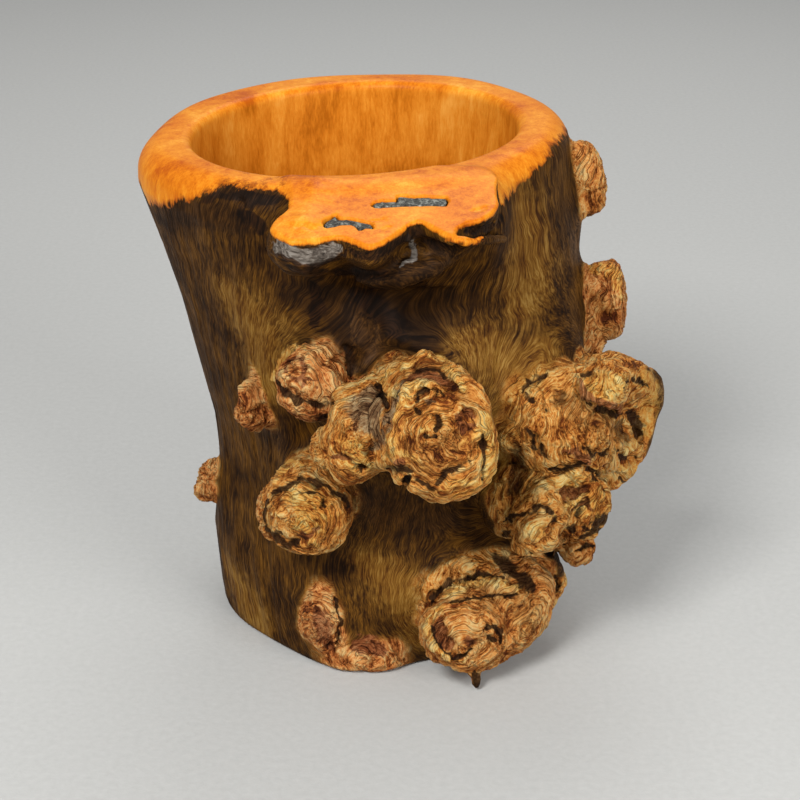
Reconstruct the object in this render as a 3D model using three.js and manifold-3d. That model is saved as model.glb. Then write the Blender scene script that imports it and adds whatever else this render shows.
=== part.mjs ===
// A brush pot made from one root stump of lychee wood, left natural outside and turned smooth inside.
// The stump is bored right through, and a turned disc closes it from below. Two cracks in the front lip
// are filled with dark filler. The origin is on the bore's axis at the table; +Z is up and -Y is the front.
import * as THREE from "three";
import { mergeVertices } from "three/addons/utils/BufferGeometryUtils.js";
import Module from "manifold-3d";

// Driving dimensions, in millimetres and degrees. An azimuth is 0 at the front and 90 at the right.
const HEIGHT = 140; // table to the highest point of the rim
const RIM_SLOPE = 0.045; // the rim was sawn a little out of level: rise per millimetre to the right
const RIM_HALF_WIDTH = 52; // from the bore's axis to the rim's highest point
const RIM_ROUNDING = 6.5; // radius of the sanded outer edge
const FOOT_ROUNDING = 2.5; // radius of the outer edge at the table

const BORE_MOUTH_RADIUS = 43.5;
const MOUTH_ROUNDING = 2; // softened inner edge of the rim
const BORE_SIDES = 44;
const BORE_LEVELS = 5;

const DISC_RADIUS = 32.5;
const DISC_THICKNESS = 9;
const DISC_BEVEL = 0.8;
const LEDGE_WIDTH = 3.5; // ledge that the disc is glued against
const GLUE_GAP = 0.3; // clearance round every piece that is let in
const OVERSHOOT = 20; // cutting shapes reach this far past the wood

const FILLER_DEPTH = 3.5;

const TRUNK_SIDES = 60;
const TRUNK_LEVELS = 16;
const ROUNDING_LEVELS = 3;

const RIM_LEVEL = HEIGHT - RIM_SLOPE * RIM_HALF_WIDTH; // height of the rim over the bore's axis
const BORE_FLOOR_RADIUS = DISC_RADIUS - LEDGE_WIDTH;
const underRim = (depth) => RIM_LEVEL - depth; // what carries the lip hangs from the rim

// The trunk leans and swells. Each girth gives the centre and the radius of the trunk at one height.
const GIRTHS = [
  { height: 0, x: 6, y: -3, radius: 45.5 },
  { height: 22, x: 6.5, y: -2.5, radius: 47.8 },
  { height: 45, x: 9.5, y: -1, radius: 48.5 },
  { height: 60, x: 9.7, y: -0.5, radius: 50 },
  { height: 78, x: 8.2, y: 0, radius: 52.5 },
  { height: 95, x: 6, y: 0, radius: 54 },
  { height: 112, x: 2.6, y: 0.5, radius: 55.8 },
  { height: 126, x: -0.6, y: 1, radius: 57.2 },
  { height: 140, x: -0.8, y: 2.2, radius: 56.6 },
];

// Slow ridges that run up the trunk: waves round the girth that twist a little with height.
const RIDGES = [
  { waves: 3, rise: 0.5, phase: 20, twist: 0.3 },
  { waves: 5, rise: 0.6, phase: 75, twist: -0.5 },
  { waves: 8, rise: 0.4, phase: 140, twist: 0.8 },
];

// Swellings at the burls' roots, and hollows (a negative rise) between them.
const SWELLINGS = [
  { azimuth: -4, height: 97, rise: 5, wide: 9, tall: 13 },
  { azimuth: -10, height: 58, rise: 6, wide: 12, tall: 13 },
  { azimuth: 16, height: 82, rise: 7, wide: 16, tall: 17 },
  { azimuth: 50, height: 72, rise: 12, wide: 19, tall: 20 },
  { azimuth: 43, height: 50, rise: 9, wide: 15, tall: 12 },
  { azimuth: 32, height: 17, rise: 4, wide: 16, tall: 10 },
  { azimuth: -31, height: 76, rise: 2.5, wide: 6, tall: 12 },
  { azimuth: -72, height: 38, rise: 1.5, wide: 7, tall: 8 },
  { azimuth: 92, height: 118, rise: 4, wide: 11, tall: 13 },
  { azimuth: 92, height: 84, rise: 5, wide: 12, tall: 15 },
  { azimuth: -10, height: 12, rise: 2, wide: 8, tall: 9 },
  { azimuth: 4, height: 2, rise: 2, wide: 12, tall: 7 },
  { azimuth: -16, height: 1, rise: 1.5, wide: 9, tall: 8 },
  { azimuth: 31, height: underRim(9.66), rise: 12, wide: 11, tall: 14 },
  { azimuth: 9, height: 106, rise: -7, wide: 13, tall: 10 },
  { azimuth: 3, height: 88, rise: -4, wide: 7, tall: 12 },
  { azimuth: -22, height: 62, rise: -4, wide: 7, tall: 20 },
  { azimuth: 10, height: 40, rise: -2.5, wide: 18, tall: 12 },
  { azimuth: 66, height: 20, rise: -3, wide: 14, tall: 8 },
  { azimuth: 56, height: 32, rise: 5, wide: 12, tall: 9 },
  { azimuth: 180, height: 104, rise: 5, wide: 15, tall: 14 },
  { azimuth: 150, height: 55, rise: 4, wide: 14, tall: 13 },
  { azimuth: 215, height: 72, rise: 3, wide: 12, tall: 16 },
  { azimuth: 238, height: 26, rise: 2, wide: 13, tall: 12 },
  { azimuth: 130, height: 20, rise: 3, wide: 14, tall: 11 },
  { azimuth: 60, height: 48, rise: 3, wide: 7, tall: 9 },
  { azimuth: 150, height: 47, rise: 1.5, wide: 10, tall: 7 },
  { azimuth: 92, height: 111, rise: 1.3, wide: 8, tall: 7 },
  { azimuth: -28, height: 55, rise: 1.5, wide: 5, tall: 8 },
  { azimuth: 32, height: 4, rise: 1.8, wide: 9, tall: 7 },
];

// Burls, each a head on a stem.
//   at: azimuth, height and distance from the bore's axis of the head's middle
//   aim: azimuth and upward pitch that the head points in, and its roll about that line
//   size: half width, half height and half depth of the head
//   stem: how far the stem runs back into the trunk
//   lobes: waves round the head, their share of its radius, and their phase
//   ringed: the head is a flat sawn or broken face instead of a rounded one
const UPPER_LEFT_KNOB = [
  { at: [-9, 91, 62], aim: [-25, -6, 0], size: [9, 9.3, 6], stem: 20, lobes: [2, 0.05, 40], ringed: true },
  { at: [-31, 75, 51], aim: [-40, 4, 8], size: [4, 6.8, 4.5], stem: 10, lobes: [3, 0.1, 10] },
];
const LEFT_SPURS = [
  { at: [-73, 41, 42.5], aim: [-76, 20, 0], size: [3, 2.8, 3.5], stem: 9, lobes: [2, 0.1, 0] },
  { at: [-73, 36, 43.5], aim: [-80, -8, 0], size: [4.2, 3.8, 4.2], stem: 10, lobes: [2, 0.1, 90] },
];
const LOWER_LEFT_KNOB = [
  { at: [-11.5, 53, 59], aim: [-18, -8, 0], size: [12.2, 12.5, 8.5], stem: 24, lobes: [2, 0.04, 30] },
  { at: [-21, 48, 57], aim: [-30, -6, 10], size: [4.8, 6.8, 4.5], stem: 12, lobes: [2, 0.05, 0] },
];
const GREAT_BURL = [
  { at: [13.7, 86, 84], aim: [18, 15, 10], size: [13.6, 17.5, 10], stem: 38, lobes: [3, 0.05, 100],
    ringed: true },
  { at: [2.6, 83, 75], aim: [-8, 10, -16], size: [9.5, 13, 8], stem: 26, lobes: [3, 0.06, 200] },
  { at: [-4.3, 76.5, 71], aim: [-40, 0, 0], size: [4.6, 4.2, 5], stem: 10, lobes: [2, 0.05, 0] },
  { at: [11, 93, 91], aim: [12, 20, -14], size: [3.4, 8.2, 4], stem: 10, lobes: [2, 0.08, 60] },
  { at: [7.6, 81.5, 90.5], aim: [2, 0, 0], size: [5, 4.6, 4.4], stem: 12, lobes: [2, 0.08, 0] },
  { at: [13, 100, 84.5], aim: [12, 34, 0], size: [9.5, 4, 5], stem: 12, lobes: [3, 0.08, 0] },
];
const RIGHT_BURL = [
  { at: [50, 71.5, 71], aim: [48, 14, 16], size: [13.5, 14, 9], stem: 24, lobes: [4, 0.06, 60] },
  { at: [43, 71.5, 68], aim: [38, 12, 24], size: [9, 11.5, 6.4], stem: 14, lobes: [3, 0.12, 20] },
  { at: [53.5, 83, 80], aim: [58, 22, -14], size: [9, 5.5, 6], stem: 16, lobes: [2, 0.1, 10] },
  { at: [67, 64, 73], aim: [67, 0, 6], size: [13, 15.5, 7.5], stem: 26, lobes: [3, 0.05, 30] },
  { at: [51, 70, 78], aim: [48, 0, 0], size: [5, 5.5, 5], stem: 10, lobes: [2, 0.06, 0] },
  { at: [38.5, 71, 66], aim: [32, 0, 0], size: [4.5, 4.5, 4], stem: 10, lobes: [2, 0.06, 0] },
];
const TWIN_BURL = [
  { at: [45, 53.5, 71], aim: [42, 2, -16], size: [13.5, 9.5, 8], stem: 24, lobes: [3, 0.06, 0] },
  { at: [38.5, 50, 76], aim: [34, -8, 0], size: [8.5, 9, 6], stem: 14, lobes: [2, 0.06, 20] },
  { at: [49.5, 49.5, 78], aim: [50, -4, 0], size: [8.5, 8.5, 6.5], stem: 14, lobes: [3, 0.08, 50] },
  { at: [56, 31.5, 73], aim: [64, -14, 0], size: [5, 3.8, 4], stem: 20, lobes: [2, 0.08, 0] },
];
const FOOT_BURL = [
  { at: [26, 16.5, 64], aim: [16, -10, 0], size: [10.5, 10, 8], stem: 22, lobes: [3, 0.04, 40],
    ringed: true },
  { at: [41, 17, 62.5], aim: [40, -4, 30], size: [15, 11.5, 9.5], stem: 18, lobes: [2, 0.04, 20] },
  { at: [31.5, 10.5, 63], aim: [30, -6, 0], size: [9, 8, 7.5], stem: 14, lobes: [2, 0.05, 0] },
  { at: [33, 26, 55], aim: [26, 18, 8], size: [12.5, 5, 6], stem: 14, lobes: [2, 0.05, 0] },
  { at: [56.5, 13, 59], aim: [58, 4, 30], size: [8.5, 6, 6], stem: 16, lobes: [2, 0.06, 0] },
  { at: [60, 31, 51], aim: [60, 0, 0], size: [9, 11, 3.5], stem: 8, lobes: [2, 0.05, 0] },
];
const TOES = [
  { at: [-10.4, 14, 49.5], aim: [-20, -8, 0], size: [5.8, 8.6, 5], stem: 12, lobes: [3, 0.08, 20] },
  { at: [4.2, 3.5, 49], aim: [2, 12, 0], size: [10.5, 5, 5], stem: 12, lobes: [3, 0.1, 90] },
];
const RIGHT_STUBS = [
  { at: [92, 121.5, 62], aim: [96, 8, 0], size: [7, 9.5, 5.5], stem: 16, lobes: [2, 0.08, 0] },
  { at: [90, 88, 69.5], aim: [80, 6, 0], size: [7, 10.5, 4.8], stem: 18, lobes: [2, 0.05, 0], ringed: true },
  { at: [88, 75, 63.5], aim: [80, -10, 0], size: [6, 9, 5], stem: 14, lobes: [2, 0.08, 0] },
];
const BACK_KNOTS = [
  { at: [150, 56, 54], aim: [150, 6, 0], size: [8, 8.5, 4.5], stem: 14, lobes: [3, 0.08, 20] },
  { at: [216, 74, 54], aim: [220, 4, 0], size: [6.5, 8, 4], stem: 14, lobes: [2, 0.08, 50] },
];
const BURLS = [
  ...UPPER_LEFT_KNOB,
  ...LEFT_SPURS,
  ...LOWER_LEFT_KNOB,
  ...GREAT_BURL,
  ...RIGHT_BURL,
  ...TWIN_BURL,
  ...FOOT_BURL,
  ...TOES,
  ...RIGHT_STUBS,
  ...BACK_KNOTS,
];

// Curled edges of the burls, a spur at the foot and a strand under the lip's right corner, each swept along
// azimuth, height and distance from the bore's axis.
const RIDGES_ON_BURLS = [
  {
    radius: 5.2,
    path: [
      [56, 82.5, 72], [64, 80, 78.5], [74, 72.5, 80.5], [79, 65, 81.5],
      [78, 58, 80], [75, 52, 79], [66, 48, 76],
    ],
  },
  {
    radius: 2.6,
    path: [[16, 102, 85], [19, 98, 89], [20.4, 90, 91], [20.8, 82, 91], [20, 73.5, 88], [17, 69.5, 83]],
  },
  {
    radius: 3.4,
    path: [[50, 38, 60], [53, 32, 62], [57, 24, 63], [60, 17, 63], [62, 10, 61]],
  },
  {
    radius: 1.2,
    path: [[28, 9, 65], [28, 4, 68], [28, 2, 69]],
  },
  {
    radius: 1.3,
    path: [
      [16.5, underRim(5.16), 74], [18.7, underRim(5.66), 79], [21.2, underRim(6.56), 78.8],
      [24.2, underRim(7.26), 77.3], [27.4, underRim(8.66), 74.4], [32.4, underRim(11.36), 68.7],
      [36, underRim(13.66), 62],
    ],
  },
];
const RIDGE_SIDES = 7;
const RIDGE_TIP = 0.5; // radius at a ridge's ends, as a share of its middle's

// Unevenness of the grown wood: waves that shift it along an axis, and their radians per millimetre along
// X, Y and Z.
const UNEVENNESS = [
  { along: "x", rise: 0.4, turns: [0, 0.21, 0.13] },
  { along: "x", rise: 0.35, turns: [0, -0.38, 0.47] },
  { along: "y", rise: 0.4, turns: [-0.17, 0, 0.19] },
  { along: "y", rise: 0.35, turns: [0.51, 0, 0.4] },
  { along: "z", rise: 0.4, turns: [0.33, 0.27, 0] },
];

// Clefts where soft wood has rotted out: long hollows cut into the burls once they are joined.
const CLEFTS = [
  { at: [67, 66, 85], aim: [66, 0, 8], size: [2.6, 9, 9] },
  { at: [56, 76.5, 86], aim: [62, 10, 64], size: [1.8, 6, 7] },
  { at: [44.5, 50, 85], aim: [42, 0, -30], size: [1.8, 8, 5] },
  { at: [1.5, 74.5, 79], aim: [0, 0, 0], size: [1.6, 2, 6] },
  { at: [15, underRim(10.66), 76], aim: [14, 0, 90], size: [4, 10, 9] },
];

// The lip: a sawn-off burl that spreads forward from the rim. Its outline is seen from above.
const LIP_HINGE_Y = -49; // where its top starts to fall
const LIP_OUTLINE = [
  [-15.5, LIP_HINGE_Y],
  [-14.8, -55],
  [-14.5, -59.5],
  [-18, -66],
  [-18.4, -71],
  [-14.5, -74.6],
  [-9, -75.2],
  [-2, -74.1],
  [1, -76],
  [4.2, -79.2],
  [7, -78.5],
  [11, -74.3],
  [16, -68.9],
  [20, -72.2],
  [24.2, -76.2],
  [25.8, -72],
  [30.5, -69.8],
  [34.5, -65],
  [35.5, -58],
  [30, LIP_HINGE_Y],
];
const LIP_FALL = 11; // degrees that its top drops towards the front
const LIP_DROP = 0.15; // its top lies this far under the rim's where it starts
const LIP_THICKNESS = 26;
// Below its sanded top the lip draws back into the trunk: its share of the reach at equal depths.
const LIP_UNDERSIDE = [1, 0.96, 0.72, 0.46, 0.28, 0.15];
const LIP_MIDDLE_X = 9;
const LIP_NECK = 0.55; // where its reach is 0 it would be this share as wide
const LIP_BRACKETS = [
  { at: [-9, underRim(10.66), 66], aim: [-12, -10, 0], size: [9.5, 6.5, 8], stem: 18, lobes: [2, 0.05, 0] },
  { at: [11, underRim(17.16), 64], aim: [8, 0, -80], size: [4, 11, 7], stem: 16, lobes: [3, 0.08, 0] },
];

// The cracks in the lip, each an outline seen from above that the filler takes up.
const RIM_CRACK = [
  [5.3, -60.3], [6.3, -58.9], [7.5, -58.5], [11.3, -58.9], [11.5, -56.6], [12.5, -56.3], [15.6, -57.5],
  [17.7, -57.2], [20.1, -57.9], [23, -58.2], [23.3, -59.9], [22.8, -61.8], [19.1, -61.3], [15.6, -61.1],
  [12, -61], [8.4, -61.5], [6.3, -61.2],
];
const LIP_CRACK = [
  [-5.9, -68], [-5.2, -66.4], [-4.1, -65.5], [-3.4, -64.1], [-2.6, -65.9], [0.2, -66.4], [3.1, -67.8],
  [5.2, -68.7], [5.7, -70.9], [4, -70.2], [2.7, -71.5], [1.9, -69.6], [0.3, -68.5], [-2.1, -68.5],
  [-3.7, -69.3], [-5.3, -69.7],
];
const CRACKS = { rim_crack_filler: RIM_CRACK, lip_crack_filler: LIP_CRACK };
const CRACK_SHARPEST = 2; // at a corner the slot spreads at most this many times the glue gap

const WOOD = { color: 0x8a5a2b, roughness: 0.6, metalness: 0 };
const DISC_WOOD = { color: 0xb9783c, roughness: 0.5, metalness: 0 };
const FILLER = { color: 0x2b2723, roughness: 0.8, metalness: 0 };

const wasm = await Module();
wasm.setup();

const rad = THREE.MathUtils.degToRad;
const { lerp, clamp } = THREE.MathUtils;

function solidOf(geometry) {
  const bare = geometry.clone();
  for (const name of ["normal", "uv"]) bare.deleteAttribute(name);
  const merged = mergeVertices(bare, 1e-3);
  const vertProperties = new Float32Array(merged.attributes.position.array);
  const triVerts = new Uint32Array(merged.index.array);
  return new wasm.Manifold(new wasm.Mesh({ numProp: 3, vertProperties, triVerts }));
}

function geometryOf(solid) {
  const { vertProperties, triVerts } = solid.getMesh();
  const geometry = new THREE.BufferGeometry();
  geometry.setAttribute("position", new THREE.BufferAttribute(vertProperties, 3));
  geometry.setIndex(new THREE.BufferAttribute(triVerts, 1));
  geometry.computeVertexNormals();
  return geometry;
}

function eachPoint(geometry, move) {
  const position = geometry.attributes.position;
  const point = new THREE.Vector3();
  for (let i = 0; i < position.count; i++) {
    move(point.fromBufferAttribute(position, i));
    position.setXYZ(i, point.x, point.y, point.z);
  }
  return geometry;
}

// Slow unevenness that every grown surface shares. It leaves the foot and the sanded rim level.
function unevenness(point) {
  const shift = { x: 0, y: 0, z: 0 };
  for (const { along, rise, turns } of UNEVENNESS)
    shift[along] += rise * Math.sin(turns[0] * point.x + turns[1] * point.y + turns[2] * point.z);
  if (point.z < FOOT_ROUNDING || point.z > RIM_LEVEL - RIM_ROUNDING) shift.z = 0;
  point.add(shift);
}

// The rim was sawn on a slope, so heights shear in proportion up to it.
function slopeRim(point) {
  point.z += (RIM_SLOPE * point.x * Math.max(point.z, 0)) / HEIGHT;
}

// Centre and radius of the trunk at a height, on a smooth curve through the girths.
const girthCurve = new THREE.CatmullRomCurve3(
  GIRTHS.map(({ x, y, radius }) => new THREE.Vector3(x, y, radius)),
);

function girthAt(height) {
  const level = clamp(height, GIRTHS[0].height, GIRTHS.at(-1).height);
  const upper = Math.max(1, GIRTHS.findIndex((girth) => girth.height >= level));
  const share = THREE.MathUtils.inverseLerp(GIRTHS[upper - 1].height, GIRTHS[upper].height, level);
  const girth = girthCurve.getPoint((upper - 1 + share) / (GIRTHS.length - 1));
  return { x: girth.x, y: girth.y, radius: girth.z };
}

function degreesApart(a, b) {
  return THREE.MathUtils.euclideanModulo(a - b + 180, 360) - 180;
}

function trunkRadius(azimuth, height, girth) {
  let radius = girth.radius;
  for (const { waves, rise, phase, twist } of RIDGES)
    radius += rise * Math.cos(rad(waves * azimuth + phase + twist * height));
  for (const { azimuth: at, height: level, rise, wide, tall } of SWELLINGS) {
    const across = degreesApart(azimuth, at) / wide;
    const up = (height - level) / tall;
    radius += rise * Math.exp(-(across * across + up * up));
  }
  return radius;
}

// Heights and insets of the trunk's rings, from the rounded foot to the rounded rim.
function trunkLevels() {
  const levels = [
    { height: 0, inset: FOOT_ROUNDING },
    { height: 0.3 * FOOT_ROUNDING, inset: 0.3 * FOOT_ROUNDING },
  ];
  const [low, high] = [FOOT_ROUNDING, RIM_LEVEL - RIM_ROUNDING];
  for (let i = 0; i <= TRUNK_LEVELS; i++)
    levels.push({ height: lerp(low, high, i / TRUNK_LEVELS), inset: 0 });
  for (let i = 1; i <= ROUNDING_LEVELS; i++) {
    const turn = ((i / ROUNDING_LEVELS) * Math.PI) / 2;
    levels.push({
      height: high + RIM_ROUNDING * Math.sin(turn),
      inset: RIM_ROUNDING * (1 - Math.cos(turn)),
    });
  }
  return levels;
}

// A closed loft: rings of the same count joined by quads, with a fan over each end.
function loft(rings) {
  const sides = rings[0].length;
  const centre = (ring) => ring.reduce((sum, p) => sum.add(p), new THREE.Vector3()).divideScalar(sides);
  const points = [...rings.flat(), centre(rings[0]), centre(rings.at(-1))];
  const [bottom, top] = [points.length - 2, points.length - 1];
  const faces = [];
  for (let side = 0; side < sides; side++) {
    const next = (side + 1) % sides;
    faces.push(bottom, next, side);
    for (let ring = 0; ring + 1 < rings.length; ring++) {
      const [a, b] = [ring * sides + side, ring * sides + next];
      faces.push(a, b, b + sides, a, b + sides, a + sides);
    }
    faces.push(top, (rings.length - 1) * sides + side, (rings.length - 1) * sides + next);
  }
  return new THREE.BufferGeometry().setFromPoints(points).setIndex(faces);
}

function trunk() {
  const rings = trunkLevels().map(({ height, inset }) => {
    const girth = girthAt(height);
    return Array.from({ length: TRUNK_SIDES }, (_, side) => {
      const azimuth = (side * 360) / TRUNK_SIDES;
      const radius = trunkRadius(azimuth, height, girth) - inset;
      return new THREE.Vector3(
        girth.x + radius * Math.sin(rad(azimuth)),
        girth.y - radius * Math.cos(rad(azimuth)),
        height,
      );
    });
  });
  return loft(rings);
}

// Moves a shape made along +Y, with +Z its height, to its place on the trunk.
function place(geometry, { at: [azimuth, height, reach], aim: [aim, pitch, roll] }) {
  const placed = new THREE.Matrix4()
    .makeTranslation(reach * Math.sin(rad(azimuth)), -reach * Math.cos(rad(azimuth)), height)
    .multiply(new THREE.Matrix4().makeRotationZ(rad(aim + 180)))
    .multiply(new THREE.Matrix4().makeRotationX(rad(pitch)))
    .multiply(new THREE.Matrix4().makeRotationY(rad(roll)));
  return geometry.applyMatrix4(placed);
}

// Half profile of a burl: a stem that spreads at its root and narrows to a neck, then the head.
// The radius is a share of the head's; the length runs along the axis from the head's middle.
const STEM_PROFILE = [
  { radius: 1.4, along: (stem) => -stem },
  { radius: 1.02, along: (stem, deep) => -0.45 * (stem + deep) },
  { radius: 0.85, along: (stem, deep) => -0.8 * deep },
];
const ROUND_HEAD = [[1, -0.2], [0.9, 0.5], [0.52, 0.9], [0, 1]];
const RINGED_HEAD = [[1, -0.2], [0.96, 0.6], [0.8, 0.9], [0.45, 0.82], [0, 0.9]];

function burlProfile({ size: [, , deep], stem, ringed }) {
  const head = (ringed ? RINGED_HEAD : ROUND_HEAD).map(([radius, share]) => [radius, share * deep]);
  const root = STEM_PROFILE.map(({ radius, along }) => [radius, along(stem, deep)]);
  return [[0, -stem], ...root, ...head].map(([radius, along]) => new THREE.Vector2(radius, along));
}

function burl(spec) {
  const { size, stem, lobes } = spec;
  const [wide, tall, deep] = size;
  const [waves, swell, phase] = lobes;
  const sides = clamp(Math.round(0.7 * (wide + tall)), 8, 20);
  const geometry = new THREE.LatheGeometry(burlProfile(spec), sides);
  eachPoint(geometry, (point) => {
    const turn = Math.atan2(point.x, point.z);
    const head = THREE.MathUtils.smoothstep(point.y, -stem, 0);
    const radius = Math.hypot(point.x, point.z);
    const wave = Math.cos(waves * turn + rad(phase)) + 0.6 * Math.cos((waves + 3) * turn);
    const lobe = 1 + head * swell * wave;
    point.x *= wide * lobe;
    point.z *= tall * lobe;
    point.y += 0.16 * deep * head * radius * Math.sin(2 * turn + rad(phase));
  });
  return place(geometry, spec);
}

// A ridge thins towards both ends.
function ridge({ radius, path }) {
  const curve = new THREE.CatmullRomCurve3(path.map(([azimuth, height, reach]) =>
    new THREE.Vector3(reach * Math.sin(rad(azimuth)), -reach * Math.cos(rad(azimuth)), height)));
  const steps = 2 * path.length - 1;
  const { normals, binormals } = curve.computeFrenetFrames(steps);
  const rings = normals.map((normal, i) => {
    const share = i / steps;
    const middle = curve.getPointAt(share);
    const thick = radius * lerp(RIDGE_TIP, 1, 2 * Math.sqrt(share * (1 - share)));
    return Array.from({ length: RIDGE_SIDES }, (_, side) => {
      const turn = (2 * Math.PI * side) / RIDGE_SIDES;
      return middle.clone()
        .addScaledVector(normal, thick * Math.cos(turn))
        .addScaledVector(binormals[i], thick * Math.sin(turn));
    });
  });
  return loft(rings);
}

function cleft(spec) {
  const [wide, tall, deep] = spec.size;
  const geometry = new THREE.SphereGeometry(1, 10, 7).rotateX(Math.PI / 2).scale(wide, deep, tall);
  return place(geometry, spec);
}

function lip() {
  const spline = new THREE.SplineCurve(LIP_OUTLINE.map(([x, y]) => new THREE.Vector2(x, y)));
  const outline = new THREE.Shape(spline.getPoints(2.5 * LIP_OUTLINE.length));
  const steps = LIP_UNDERSIDE.length - 1;
  const geometry = new THREE.ExtrudeGeometry(outline, { depth: LIP_THICKNESS, steps, bevelEnabled: false });
  return eachPoint(geometry, (point) => {
    const share = LIP_UNDERSIDE[Math.round(steps * (1 - point.z / LIP_THICKNESS))];
    point.x = lerp(LIP_MIDDLE_X, point.x, lerp(LIP_NECK, 1, share));
    point.y = lerp(LIP_HINGE_Y, Math.min(point.y, LIP_HINGE_Y), share);
    point.z += RIM_LEVEL - LIP_THICKNESS;
    lipFall(point);
  });
}

// In front of its hinge line the lip's top falls away.
function lipFall(point) {
  if (point.y <= LIP_HINGE_Y) point.z -= LIP_DROP + (LIP_HINGE_Y - point.y) * Math.tan(rad(LIP_FALL));
}

function bore() {
  const profile = [new THREE.Vector2(0, -1), new THREE.Vector2(BORE_FLOOR_RADIUS, -1)];
  const [low, high] = [DISC_THICKNESS + GLUE_GAP, RIM_LEVEL - MOUTH_ROUNDING];
  for (let i = 0; i <= BORE_LEVELS; i++) {
    const share = i / BORE_LEVELS;
    const radius = lerp(BORE_FLOOR_RADIUS, BORE_MOUTH_RADIUS, Math.sin((share * Math.PI) / 2));
    profile.push(new THREE.Vector2(radius, lerp(low, high, share)));
  }
  const mouth = (out, up) => new THREE.Vector2(BORE_MOUTH_RADIUS + out * MOUTH_ROUNDING, RIM_LEVEL + up);
  profile.push(mouth(0.6, -0.4 * MOUTH_ROUNDING), mouth(2.6, 1), mouth(2.6, OVERSHOOT));
  profile.push(new THREE.Vector2(0, RIM_LEVEL + OVERSHOOT));
  return new THREE.LatheGeometry(profile, BORE_SIDES).rotateX(Math.PI / 2);
}

function rebate() {
  const depth = DISC_THICKNESS + GLUE_GAP;
  const radius = DISC_RADIUS + GLUE_GAP;
  return new THREE.CylinderGeometry(radius, radius, depth + 1, BORE_SIDES)
    .rotateX(Math.PI / 2)
    .translate(0, 0, (depth - 1) / 2);
}

// An outline moved outwards by grow along the line that halves each corner.
function grown(outline, grow) {
  const points = outline.map(([x, y]) => new THREE.Vector2(x, y));
  const across = (from, to) => new THREE.Vector2(from.y - to.y, to.x - from.x).normalize();
  return points.map((point, i) => {
    const before = across(points.at(i - 1), point);
    const after = across(point, points[(i + 1) % points.length]);
    const out = before.add(after).normalize();
    return point.clone().addScaledVector(out, Math.min(grow / out.dot(after), CRACK_SHARPEST * grow));
  });
}

function crackSolid(outline, grow, rise) {
  const geometry = new THREE.ExtrudeGeometry(new THREE.Shape(grown(outline, grow)), {
    depth: FILLER_DEPTH + grow + rise,
    bevelEnabled: false,
  });
  geometry.translate(0, 0, RIM_LEVEL - FILLER_DEPTH - grow);
  return eachPoint(geometry, lipFall);
}

function rootBody() {
  const sawn = [trunk(), lip()].map((geometry) => eachPoint(eachPoint(geometry, unevenness), slopeRim));
  const growths = [...[...BURLS, ...LIP_BRACKETS].map(burl), ...RIDGES_ON_BURLS.map(ridge)];
  const pieces = [...sawn, ...growths.map((geometry) => eachPoint(geometry, unevenness))].map(solidOf);
  let body = pieces.reduce((sum, piece) => sum.add(piece));
  for (const spec of CLEFTS) body = body.subtract(solidOf(cleft(spec)));
  const below = new THREE.BoxGeometry(4 * HEIGHT, 4 * HEIGHT, HEIGHT).translate(0, 0, -HEIGHT / 2);
  body = body.subtract(solidOf(below)).subtract(solidOf(rebate()));
  body = body.subtract(solidOf(eachPoint(bore(), slopeRim)));
  for (const outline of Object.values(CRACKS))
    body = body.subtract(solidOf(eachPoint(crackSolid(outline, GLUE_GAP, OVERSHOOT), slopeRim)));
  return geometryOf(body);
}

function baseDisc() {
  const profile = [
    new THREE.Vector2(0, 0),
    new THREE.Vector2(DISC_RADIUS - DISC_BEVEL, 0),
    new THREE.Vector2(DISC_RADIUS, DISC_BEVEL),
    new THREE.Vector2(DISC_RADIUS, DISC_THICKNESS),
    new THREE.Vector2(0, DISC_THICKNESS),
  ];
  return new THREE.LatheGeometry(profile, BORE_SIDES).rotateX(Math.PI / 2);
}

function piece(name, geometry, finish) {
  const mesh = new THREE.Mesh(geometry, new THREE.MeshStandardMaterial(finish));
  mesh.name = name;
  return mesh;
}

const pot = new THREE.Group();
pot.add(piece("root_body", rootBody(), WOOD));
pot.add(piece("base_disc", baseDisc(), DISC_WOOD));
for (const [name, outline] of Object.entries(CRACKS))
  pot.add(piece(name, eachPoint(crackSolid(outline, 0, 0), slopeRim), FILLER));

export default pot;
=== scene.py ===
import math

import bmesh
import bpy
import numpy as np
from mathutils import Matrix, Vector


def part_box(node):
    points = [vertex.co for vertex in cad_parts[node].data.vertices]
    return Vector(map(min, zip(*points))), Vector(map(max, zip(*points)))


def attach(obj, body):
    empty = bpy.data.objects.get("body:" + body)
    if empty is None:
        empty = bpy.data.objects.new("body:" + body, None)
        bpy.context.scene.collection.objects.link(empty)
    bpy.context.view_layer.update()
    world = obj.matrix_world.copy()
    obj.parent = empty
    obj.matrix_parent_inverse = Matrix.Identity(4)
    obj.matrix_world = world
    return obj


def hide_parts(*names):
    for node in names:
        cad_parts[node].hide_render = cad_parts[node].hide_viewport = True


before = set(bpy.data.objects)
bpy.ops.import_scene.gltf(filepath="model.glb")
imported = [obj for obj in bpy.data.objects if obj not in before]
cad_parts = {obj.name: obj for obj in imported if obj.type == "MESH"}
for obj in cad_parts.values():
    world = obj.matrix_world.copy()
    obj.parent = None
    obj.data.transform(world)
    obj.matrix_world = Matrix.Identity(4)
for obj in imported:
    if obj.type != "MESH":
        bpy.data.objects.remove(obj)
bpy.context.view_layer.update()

MM = 0.001
PITCH = 0.62  # edge of the field's cells

# Sizes shared with the solids.
HEIGHT = 140
RIM_SLOPE = 0.045
RIM_HALF_WIDTH = 52
RIM_LEVEL = HEIGHT - RIM_SLOPE * RIM_HALF_WIDTH
RIM_ROUNDING = 6.5
BORE_MOUTH_RADIUS = 43.5
BORE_FLOOR_RADIUS = 29
MOUTH_ROUNDING = 2.6
DISC_RADIUS = 32.5
DISC_THICKNESS = 9
GLUE_GAP = 0.3

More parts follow.
